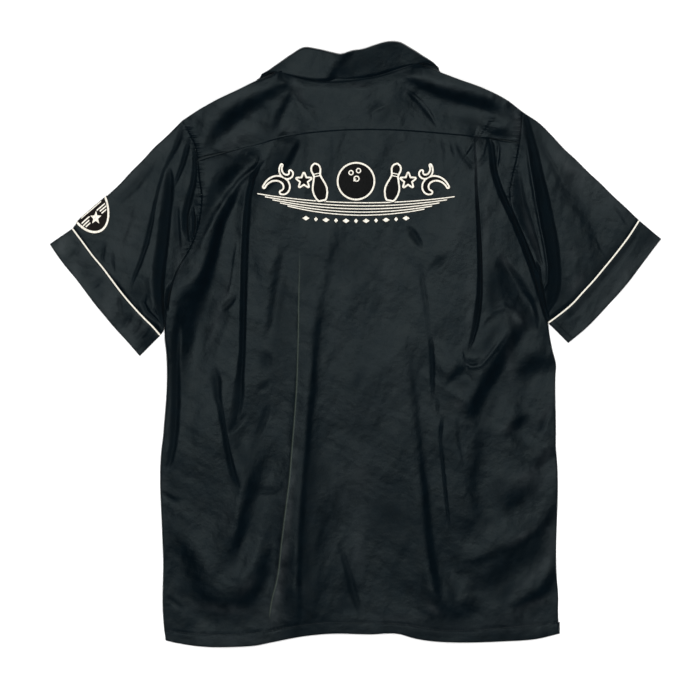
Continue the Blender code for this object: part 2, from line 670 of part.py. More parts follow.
def make_collar(yoke_rows, left_neck, right_neck):
    yoke_main = yoke_rows[:len(YOKE_PARTS)]
    top = yoke_main[-1]
    sections = collar_front(-1)
    sections += collar_wrap(-1, yoke_main, top[left_neck].lerp(top[left_neck + 1], 0.4))
    sections += collar_back(yoke_main, left_neck, right_neck)
    sections += reversed(collar_wrap(1, yoke_main, top[right_neck].lerp(top[right_neck - 1], 0.4)))
    sections += reversed(collar_front(1))
    sheet("collar", sections, BLACK)


def armhole_ring(side, back_rows, yoke_rows, front_rows):
    """Round the armhole: up the back and yoke, over the shoulder, down the front, and the armpit turn."""
    pick = 0 if side < 0 else -1
    upper = [row[pick] for row, level in zip(back_rows, ROWS) if level >= ARMPIT_ROW]
    yoke = [row[pick] for row in yoke_rows]
    upper += yoke[1:len(YOKE_PARTS)]
    turn = [yoke[len(YOKE_PARTS)]]
    lower = yoke[len(YOKE_PARTS) + 1:]
    lower += [row[-1] for row in reversed(front_rows) if row[-1].y >= upper[0].y + 6][1:]
    foot = Vector((upper[0].x, upper[0].y, WALL / 2))
    lower.append(foot)
    end = Vector((upper[0].x, upper[0].y - 0.8, (upper[0].z + foot.z) / 2))
    return upper, turn, lower, end


def part_lengths(points):
    """Each point's part of the length of the line through the points, in plan."""
    total = [0.0]
    for a, b in zip(points, points[1:]):
        total.append(total[-1] + (b - a).to_2d().length)
    return [t / total[-1] for t in total]


def off_armhole(side, line, k):
    """Unit vector in plan from the body to the sleeve at a point of the armhole."""
    ahead = line[min(k + 1, len(line) - 1)] - line[max(k - 1, 0)]
    away = Vector((ahead.y, -ahead.x, 0)).normalized()
    return away if away.x * side > 0 else -away


def line_ring(spots, fractions, heights):
    """Ring over a plan line: upper points, shoulder turn, lower points, end turn."""
    upper_parts, lower_parts = fractions
    ring = []

    def place(part, z, inset=0.0):
        plan = along(spots, min(max(part, 0.0), 1.0))
        ahead = (along(spots, min(part + 0.05, 1.0)) - along(spots, max(part - 0.05, 0.0))).normalized()
        plan = plan + ahead * inset
        return Vector((plan.x, plan.y, z))

    insets = {0.0: FOLD_INSET, 1.0: -FOLD_INSET}
    for part in upper_parts:
        ring.append(place(part, heights(*along(spots, part))[1], insets.get(part, 0.0)))
    ring.append(place(0.0, sum(heights(*along(spots, 0.0))) / 2, WALL / 2))
    for part in lower_parts:
        ring.append(place(part, heights(*along(spots, part))[0], insets.get(part, 0.0)))
    ring.append(place(1.0, sum(heights(*along(spots, 1.0))) / 2, -WALL / 2))
    return ring


def shifted(spots, distance):
    """The line moved sideways in plan by a distance, to the left of its direction."""
    moved = []
    for i, spot in enumerate(spots):
        a, b = spots[max(i - 1, 0)], spots[min(i + 1, len(spots) - 1)]
        ahead = Vector((b.x - a.x, b.y - a.y)).normalized()
        moved.append(Spot(spot.x - ahead.y * distance, spot.y + ahead.x * distance))
    return moved


def badge_rise(x, y, side):
    if side > 0:
        return 0.0
    middle = along(SLEEVE_LEFT_FOLD, BADGE_MIDDLE_ALONG)
    near = math.hypot(x - middle.x, y - middle.y)
    return BADGE_RISE * (1 - ease((near - BADGE_REACH) / BADGE_FADE))


def sleeve_heights(side):
    fold = SLEEVE_LEFT_FOLD if side < 0 else SLEEVE_RIGHT_FOLD

    def heights(x, y):
        rise = badge_rise(x, y, side)
        near = polygon_distance(x, y, fold + fold[::-1][1:-1])
        low = WALL / 2 + rise
        return low, low + LAYER + SLEEVE_DOME * ease(near / SLEEVE_DOME_REACH) + SLEEVE_PUFF
    return heights


def make_sleeve(side, back_rows, yoke_rows, front_rows):
    upper, turn, lower, end = armhole_ring(side, back_rows, yoke_rows, front_rows)
    parts_up = [1 - t for t in part_lengths(upper)]
    parts_low = part_lengths(lower)
    heights = sleeve_heights(side)
    piping = PIPING_LEFT if side < 0 else PIPING_RIGHT
    fold = SLEEVE_LEFT_FOLD if side < 0 else SLEEVE_RIGHT_FOLD
    seat = PIPING_WIDTH / 2 + GAP + 0.1
    mouth = line_ring(shifted(piping, -side * (seat + 0.2)), (parts_up, parts_low), heights)
    armhole = upper + turn + lower + [end]
    straight = along(fold, 0.0), along(fold, 1.0)
    away = [off_armhole(side, upper, k) for k in range(len(upper))]
    away += [away[-1]] + [off_armhole(side, lower, k) for k in range(len(lower))] + [away[0]]
    rings = []
    for g in SLEEVE_STEPS:
        bulge = along(fold, g) - straight[0].lerp(straight[1], g)
        ring = []
        for k, (a, b) in enumerate(zip(armhole, mouth)):
            part = (parts_up + [0.0] + parts_low + [1.0])[k]
            start = a + away[k] * (GAP + SEAM_CLEAR)
            plan = start.lerp(b, g) + Vector((*bulge, 0)) * (1 - part) ** 2
            low, up = heights(plan.x, plan.y)
            is_upper = k < len(upper)
            own = up if is_upper else low
            if k == len(upper) or k == len(armhole) - 1:
                own = (low + up) / 2
            folds = fold_rise(plan.x, plan.y) if is_upper else 0.0
            z = mix(a.z, own + folds * math.sin(math.pi * part), ease(g / SLEEVE_SETTLE))
            ring.append(Vector((plan.x, plan.y, z)))
        rings.append(ring)
    name = "left" if side < 0 else "right"
    sheet("sleeve_" + name, rings, BLACK, ring=True)

    bands = []
    for offset, proud in ((-PIPING_WIDTH / 2, 0.0), (0.0, PIPING_PROUD), (PIPING_WIDTH / 2, 0.0)):
        line = shifted(piping, side * offset)
        ring = line_ring(line, (parts_up, parts_low), heights)
        top = len(parts_up)
        bands.append([p + Vector((0, 0, proud if k < top else 0.0)) for k, p in enumerate(ring)])
    sheet("piping_" + name, bands, IVORY, ring=True, roughness=0.6)

    edge = CUFF_LEFT if side < 0 else CUFF_RIGHT
    start = shifted(piping, side * seat)
    cuff = []
    for g in (0.0, 0.5, 1.0):
        line = [Spot(*(along(start, t).lerp(along(edge, t), g))) for t in CUFF_PARTS] if g else start
        cuff.append(line_ring(line, (parts_up, parts_low), heights))
    sheet("cuff_" + name, cuff, BLACK, ring=True)
    return rings, len(upper)


def on_sleeve(rings, turn, g, reach):
    """Point and outward normal of the sleeve at part g of its length, reach mm round from its fold."""
    i = min(max(bisect_right(SLEEVE_STEPS, g) - 1, 0), len(SLEEVE_STEPS) - 2)
    t = (g - SLEEVE_STEPS[i]) / (SLEEVE_STEPS[i + 1] - SLEEVE_STEPS[i])
    ring = [a.lerp(b, t) for a, b in zip(rings[i], rings[i + 1])]
    axis = (rings[i + 1][turn] - rings[i][turn]).normalized()
    step = -1 if reach > 0 else 1
    k, left = turn, abs(reach)
    while left > (ring[k + step] - ring[k]).length:
        left -= (ring[k + step] - ring[k]).length
        k += step
    ahead = (ring[k + step] - ring[k]).normalized()
    point = ring[k] + ahead * left
    before = ahead
    if left < 1e-6:
        before = (ring[k] - ring[k - step]).normalized()
    tangent = (ahead + before).normalized()
    normal = tangent.cross(axis) * step
    mitre = 1 / max(tangent.dot(ahead), 0.6)
    return point, normal.normalized() * mitre


def make_badge(rings, turn):
    middle = BADGE_MIDDLE_ROUND
    half_round, half_along = BADGE_ROUND / 2, BADGE_ALONG / 2
    length = (rings[-1][turn] - rings[0][turn]).length
    i = bisect_right(SLEEVE_STEPS, BADGE_MIDDLE_ALONG) - 1
    corner_up = (rings[i][turn - 1] - rings[i][turn]).length
    corner_low = (rings[i][turn + 1] - rings[i][turn]).length
    reaches = [middle - half_round * c for c in (1.0, 0.86, 0.62, 0.36, 0.08)]
    reaches += [-corner_low, 0.0, corner_up]
    reaches += [middle + half_round * c for c in (0.48, 0.72, 0.88, 1.0)]
    rows = []
    for reach in sorted(reaches):
        part = (reach - middle) / half_round
        half = half_along * max(math.sqrt(max(1 - part * part, 0.0)), 0.12)
        row = []
        for u in (-1.0, -0.5, 0.0, 0.5, 1.0):
            point, normal = on_sleeve(rings, turn, BADGE_MIDDLE_ALONG + half * u / length, reach)
            row.append(point + normal * (WALL / 2 + GAP + BADGE_CLEAR + BADGE_THICK / 2))
        rows.append(row)
    sheet("badge_left", rows, BADGE_BROWN, wall=BADGE_THICK, roughness=0.7)


def make_button(number, y):
    """A turned four-hole button lying on the surface, under the left front."""
    radius, thick = BUTTON_DIAMETER / 2, BUTTON_THICK
    sides = 12
    profile = [(0.0, 0.5), (radius - 1.6, 0.5), (radius - 0.8, 0.0), (radius, 0.8),
               (radius - 0.6, thick), (0.0, thick)]
    verts = [Vector((0, 0, profile[0][1]))]
    for r, z in profile[1:-1]:
        for n in range(sides):
            angle = 2 * math.pi * n / sides
            verts.append(Vector((r * math.cos(angle), r * math.sin(angle), z)))
    verts.append(Vector((0, 0, profile[-1][1])))
    faces = []
    for n in range(sides):
        m = (n + 1) % sides
        faces.append((0, 1 + m, 1 + n))
        for ring in range(len(profile) - 3):
            a, b = 1 + ring * sides, 1 + (ring + 1) * sides
            faces.append((a + n, a + m, b + m, b + n))
        last = 1 + (len(profile) - 3) * sides
        faces.append((last + n, last + m, len(verts) - 1))
    mesh = bpy.data.meshes.new("button_%d" % number)
    mesh.from_pydata([v * MM for v in verts], [], faces)
    mesh.materials.append(material("button_%d" % number, BLACK, 0.25))
    button = bpy.data.objects.new("button_%d" % number, mesh)
    button.location = Vector((0, y, 0)) * MM
    bpy.context.collection.objects.link(button)
    for n in range(4):
        angle = math.pi / 4 + math.pi / 2 * n
        bpy.ops.mesh.primitive_cylinder_add(vertices=5, radius=HOLE_RADIUS * MM, depth=3 * thick * MM)
        cutter = bpy.context.object
        cutter.name = "thread_hole_%d_%d" % (number, n)
        out = Vector((math.cos(angle), math.sin(angle), 0)) * HOLE_SPREAD
        cutter.location = (out + Vector((0, y, thick / 2))) * MM
        cutter.hide_render = True
        cutter.display_type = "WIRE"
        hole = button.modifiers.new("Hole %d" % n, "BOOLEAN")
        hole.operation = "DIFFERENCE"
        hole.object = cutter


def main():
    for thing in list(bpy.data.objects):
        bpy.data.objects.remove(thing)
    back_rows = make_back()
    yoke_rows, left_neck, right_neck = make_yoke(back_rows)
    last = len(yoke_rows[0]) - 1
    left = make_front(-1, yoke_rows, 0, left_neck)
    right = make_front(1, yoke_rows, right_neck, last)
    make_facing(-1)
    make_facing(1)
    make_collar(yoke_rows, left_neck, right_neck)
    rings, turn = make_sleeve(-1, back_rows, yoke_rows, left)
    make_sleeve(1, back_rows, yoke_rows, right)
    make_badge(rings, turn)
    for number, y in enumerate(BUTTON_ROWS, 1):
        make_button(number, y)


main()
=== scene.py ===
# Looks of a satin bowling shirt laid flat, face down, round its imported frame.
# Plan places are squares of a cutting mat, 1.3 mm each, counted from its upper left corner (y down).
# Heights and thicknesses are in millimetres; the meshes are in metres.

import math

import bpy
import numpy as np
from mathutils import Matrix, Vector


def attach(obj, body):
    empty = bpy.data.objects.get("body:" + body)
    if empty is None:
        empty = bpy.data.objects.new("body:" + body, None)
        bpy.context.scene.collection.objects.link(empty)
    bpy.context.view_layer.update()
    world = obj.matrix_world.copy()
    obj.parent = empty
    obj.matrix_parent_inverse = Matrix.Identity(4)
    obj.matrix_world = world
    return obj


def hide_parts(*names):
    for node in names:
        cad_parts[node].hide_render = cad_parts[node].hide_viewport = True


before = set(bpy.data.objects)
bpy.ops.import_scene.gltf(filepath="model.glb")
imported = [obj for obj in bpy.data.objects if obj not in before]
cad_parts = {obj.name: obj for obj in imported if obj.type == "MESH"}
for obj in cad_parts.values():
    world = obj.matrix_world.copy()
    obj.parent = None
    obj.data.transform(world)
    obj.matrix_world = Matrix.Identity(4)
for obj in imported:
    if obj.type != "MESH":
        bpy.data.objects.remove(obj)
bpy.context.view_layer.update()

squareSize = 1.3                # mm
millimetre = 1e-3
square = squareSize * millimetre
matCentre = (355.5, 344.0)


def toMetres(x, y, z):
    return np.stack([(x - matCentre[0]) * square, (matCentre[1] - y) * square, z * millimetre], -1)


def ease(t):
    t = np.clip(t, 0.0, 1.0)
    return t * t * (3 - 2 * t)


def mix(a, b, t):
    return a + (b - a) * t


# 1 at no distance, falling away beyond the reach
def bell(away, reach):
    return np.exp(-(away / reach) ** 2)


# Smooth curve through pairs, keyed by one of their two columns
class Through:
    def __init__(self, pairs, key=1):
        pairs = sorted(pairs, key=lambda pair: pair[key])
        self.keys = np.array([pair[key] for pair in pairs], float)
        self.values = np.array([pair[1 - key] for pair in pairs], float)
        self.slopes = np.gradient(self.values, self.keys)

    def __call__(self, at):
        at = np.clip(at, self.keys[0], self.keys[-1])
        i = np.clip(np.searchsorted(self.keys, at, side="right") - 1, 0, len(self.keys) - 2)
        span = self.keys[i + 1] - self.keys[i]
        t = (at - self.keys[i]) / span
        a, b = self.values[i], self.values[i + 1]
        return (a * (2 * t**3 - 3 * t**2 + 1) + b * (3 * t**2 - 2 * t**3)
                + self.slopes[i] * span * (t**3 - 2 * t**2 + t) + self.slopes[i + 1] * span * (t**3 - t**2))


# Points at parts 0..1 of the length of a line through plan points
class Path:
    def __init__(self, points):
        self.points = np.array(points, float)
        steps = np.hypot(*np.diff(self.points, axis=0).T)
        self.length = steps.sum()
        self.parts = np.concatenate([[0.0], np.cumsum(steps)]) / self.length
        self.bends = [Through(list(zip(self.parts, column)), key=0) for column in self.points.T]

    def __call__(self, t):
        return np.stack([bend(t) for bend in self.bends], -1)


# Outlines of the pieces, in mat squares
sideLeft = Through([
    (165.5, 650), (165.5, 640), (164, 628), (163, 616), (163, 556), (162, 532), (161.5, 448), (163, 436),
    (164, 424), (165, 412), (166, 400), (166, 352), (164.5, 338), (165, 322), (169, 296), (178, 269),
    (189, 251), (197, 232), (201, 212), (202, 200), (199.5, 179), (197.5, 161), (196, 150), (190, 134),
    (182, 121), (180, 112)])
sideRight = Through([
    (560, 640), (559.8, 633), (558.8, 626), (558.2, 616), (558, 592), (557, 580), (557, 460), (556, 448),
    (556, 430), (555.5, 376), (556, 364), (553, 352), (550.5, 340), (547.5, 322), (541, 300), (535, 277),
    (525, 248), (513, 215), (509.6, 200), (512, 180), (516, 161), (519, 144), (521, 128), (522.4, 112),
    (523, 100)])
hemLine = Through([
    (160, 639), (165, 640), (178, 643), (206, 646.5), (234, 646.5), (257, 645), (272, 642), (304, 636),
    (327, 633.6), (370, 634), (400, 634), (413, 637.7), (438, 641.4), (453, 642), (504, 641),
    (538, 638.4), (561, 633)], key=0)
hemSeam = [(165, 630), (180, 632), (206, 634), (240, 633.6), (272, 630), (304, 624.5), (324, 622.4),
           (350, 622.3), (384, 622.7), (409, 624.5), (438, 629.3), (472, 629.6), (511, 626.7), (559, 622)]
yokeSeam = Through([
    (196, 162.2), (200, 160.7), (236, 150), (265, 142.4), (281, 137.6), (307, 133.4), (340, 130.8),
    (375, 130), (408, 131), (438, 133.2), (477, 137), (500, 140.5), (519, 144.2)], key=0)
shoulderLeft = Path([(182, 121), (196, 112), (217, 100), (241, 88.5), (257, 80.5), (272, 74),
                     (285.5, 69.4)])
shoulderRight = Path([(414.7, 62.5), (425, 66), (439, 72), (460, 80), (482, 88), (506, 100), (522.4, 112)])
neckSeam = Path([(285.5, 69.4), (307, 74.8), (328.6, 77.5), (350, 78.2), (371.6, 76.3), (393, 70.2),
                 (414.7, 62.5)])
sleeveEdges = {
    "left": {
        "fold": [(182, 121), (167, 136), (154, 148), (143, 160), (131, 172), (120, 184), (107, 196),
                 (93, 208), (79, 220.5), (72.5, 228.5)],
        "piping": [(72.5, 228.5), (83, 242.5), (93, 256), (103, 268), (112, 280), (121, 292), (131, 304),
                   (142, 316), (154, 328), (160.5, 335.5)],
        "cuff": [(50, 244), (58, 256), (67, 268), (77, 280), (86, 292), (95, 304), (105, 316),
                 (115, 328), (126, 340), (140, 356)],
        "under": [(165, 322), (163.5, 331), (160.5, 335.5)],
        "armhole": [121, 322],
    },
    "right": {
        "fold": [(522.4, 112), (540, 124), (552, 136), (563, 148), (576, 160), (588, 172), (601, 184),
                 (613, 196), (626, 208), (639, 220.5)],
        "piping": [(639, 220.5), (629, 236), (617, 252), (604, 268), (594, 280), (583, 292), (572, 304),
                   (557.5, 316), (548, 323)],
        "cuff": [(661, 239), (657, 244), (648, 256), (639, 268), (630, 280), (620, 292), (609, 304),
                 (598, 316), (586, 328), (568, 343)],
        "under": [(546, 318), (547, 321), (548, 323)],
        "armhole": [112, 318],
    },
}
pleatLines = {
    "left": Through([(240, 660), (240, 390), (240.5, 348), (241.5, 320), (242, 295), (242.5, 243),
                     (244.5, 210), (249, 185), (256, 168), (262, 150), (264, 130)]),
    "right": Through([(471, 660), (471, 345), (476, 322), (479, 300), (480, 270), (479, 240), (477, 205),
                      (475, 170), (474.5, 140), (474.5, 120)]),
}
sharpCrease = Through([
    (269, 660), (269.5, 617), (272, 600), (277, 580), (282, 540), (287, 500), (289.5, 480), (292, 450),
    (294.5, 420), (296.5, 390), (298, 350), (298.5, 330), (298.8, 300), (299.5, 270), (299.5, 230),
    (299, 120)])


# Folds: each place on a line is x, y, reach to each side and, last, strength.
# A step falls to the right of its line as the rows run downwards; strength 1 is a slope of about 18 degrees.
# The broad steps reach further on their low side. Grooves and ridges have their depth or height in mm.
steps = [
    [(341, 227, 6, 0), (336, 245, 7, .3), (330, 258, 7, .35), (325, 290, 6, .3), (320, 312, 6, .4),
     (317, 338, 6, .7), (315, 362, 6, 1), (313, 390, 6, 1), (310, 415, 4.8, 1.15), (308, 445, 4.8, 1.25),
     (305.6, 472, 4.8, 1.3), (303.2, 500, 4.8, 1.3), (301.2, 535, 4.8, 1.25), (299.8, 562, 4.8, 1.15),
     (299.4, 590, 4.8, .9), (299.6, 612, 4, .6), (300, 630, 3, 0)],
    [(318, 400, 10, 0), (318, 430, 13, .4), (318, 470, 14, .55), (318, 510, 15, .55), (318, 550, 15, .55),
     (318, 590, 14, .5), (316, 620, 8, 0)],
    [(403, 325, 5, 0), (407.5, 345, 6, .25), (411.5, 372, 6, .35), (415, 400, 6.5, .5), (418, 430, 6.5, .6),
     (421, 455, 6.5, .8), (423.5, 478, 6.5, 1), (426, 500, 6.5, 1.2), (427.5, 525, 6.5, 1.3),
     (430, 548, 6.5, 1.4), (433, 570, 6.5, 1.5), (436.5, 588, 6, 1.2), (440.5, 604, 5, .5),
     (445, 618, 4, 0)],
    [(282, 238, 6, 0), (278.5, 262, 6.5, .7), (275, 285, 6.5, .8), (272, 305, 6, .8), (269, 325, 5, .8),
     (266, 342, 4, 0)],
    [(301, 134, 5, 0), (296, 147, 5, 1.6), (288, 162, 5.5, 1.8), (278, 176, 5.5, 1.6), (267, 188, 5, 1),
     (258, 200, 4, 0)],
    [(446, 555, 6, 0), (449, 575, 9, .6), (452, 594, 9, .6), (454, 612, 5, 0)],
    [(456, 415, 3, 0), (457, 436, 3.5, .5), (461, 455, 3, .5), (464, 472, 2, 0)],
    [(294, 84, 5, 0), (288, 98, 7, 1), (281, 113, 8.5, 1.2), (275, 127, 7, 1), (270, 139, 5, 0)],
    [(470, 361, 5, 0), (461, 369, 8, .9), (451, 378, 7, .8), (443, 386, 4, 0)],
]
broadSteps = [
    [(241, 186, 3, 0), (232, 203, 5, 2), (223, 220, 6, 2.1), (216.5, 240, 7.5, 2.1), (211, 262, 8.5, 2.1),
     (205, 282, 9, 1.6), (199, 302, 9, .9), (195, 322, 8, .6), (190, 345, 7, .4), (186, 365, 5, 0)],
    [(527, 318, 5, 0), (518, 331, 7, 1), (508, 347, 8, 1.4), (499, 361, 8.5, 1.6), (490, 377, 9, 1.6),
     (481, 393, 9, 1.5), (474, 407, 9, 1.2), (466, 420, 6, 0)],
    [(530, 413, 4, 0), (520, 420, 6, 1), (510, 430, 6, .8), (501, 442, 4, 0)],
    [(480, 405, 6, 0), (479, 430, 7, .3), (478, 455, 7, .4), (475, 475, 6, .3), (473, 492, 4, 0)],
    [(558, 443, 4, 0), (550, 452, 5, 1), (541, 461, 5, .9), (533, 470, 4, 0)],
    [(560, 500, 4, 0), (554, 511, 5, .8), (545, 524, 5, .7), (535, 534, 5, .6), (519, 542, 6, .5),
     (503, 549, 6, .5), (489, 557, 6, .5), (474, 561, 5, .4), (458, 563, 4, 0)],
    [(560, 560, 4, 0), (554, 574, 6, 1), (546, 588, 7, 1), (534, 598, 8, .9), (520, 604, 7, .7),
     (508, 608, 5, 0)],
    [(296, 77, 6, 0), (286, 85, 8, 1), (268, 95, 10, 1.2), (250, 105, 12, 1.25), (232, 117, 13, 1.25),
     (218, 131, 12, 1.1), (208, 146, 9, .8), (203, 159, 6, 0)],
    [(513, 129, 4, 0), (506, 119, 6, .4), (498, 111, 8, 1), (487, 105.5, 10, 1.5), (471, 100.5, 10, 1.6),
     (455, 96.5, 10, 1.6), (438, 91.5, 9, 1.5), (422, 85, 8, 1.3), (409, 79, 6, .9), (397, 74, 4, 0)],
]
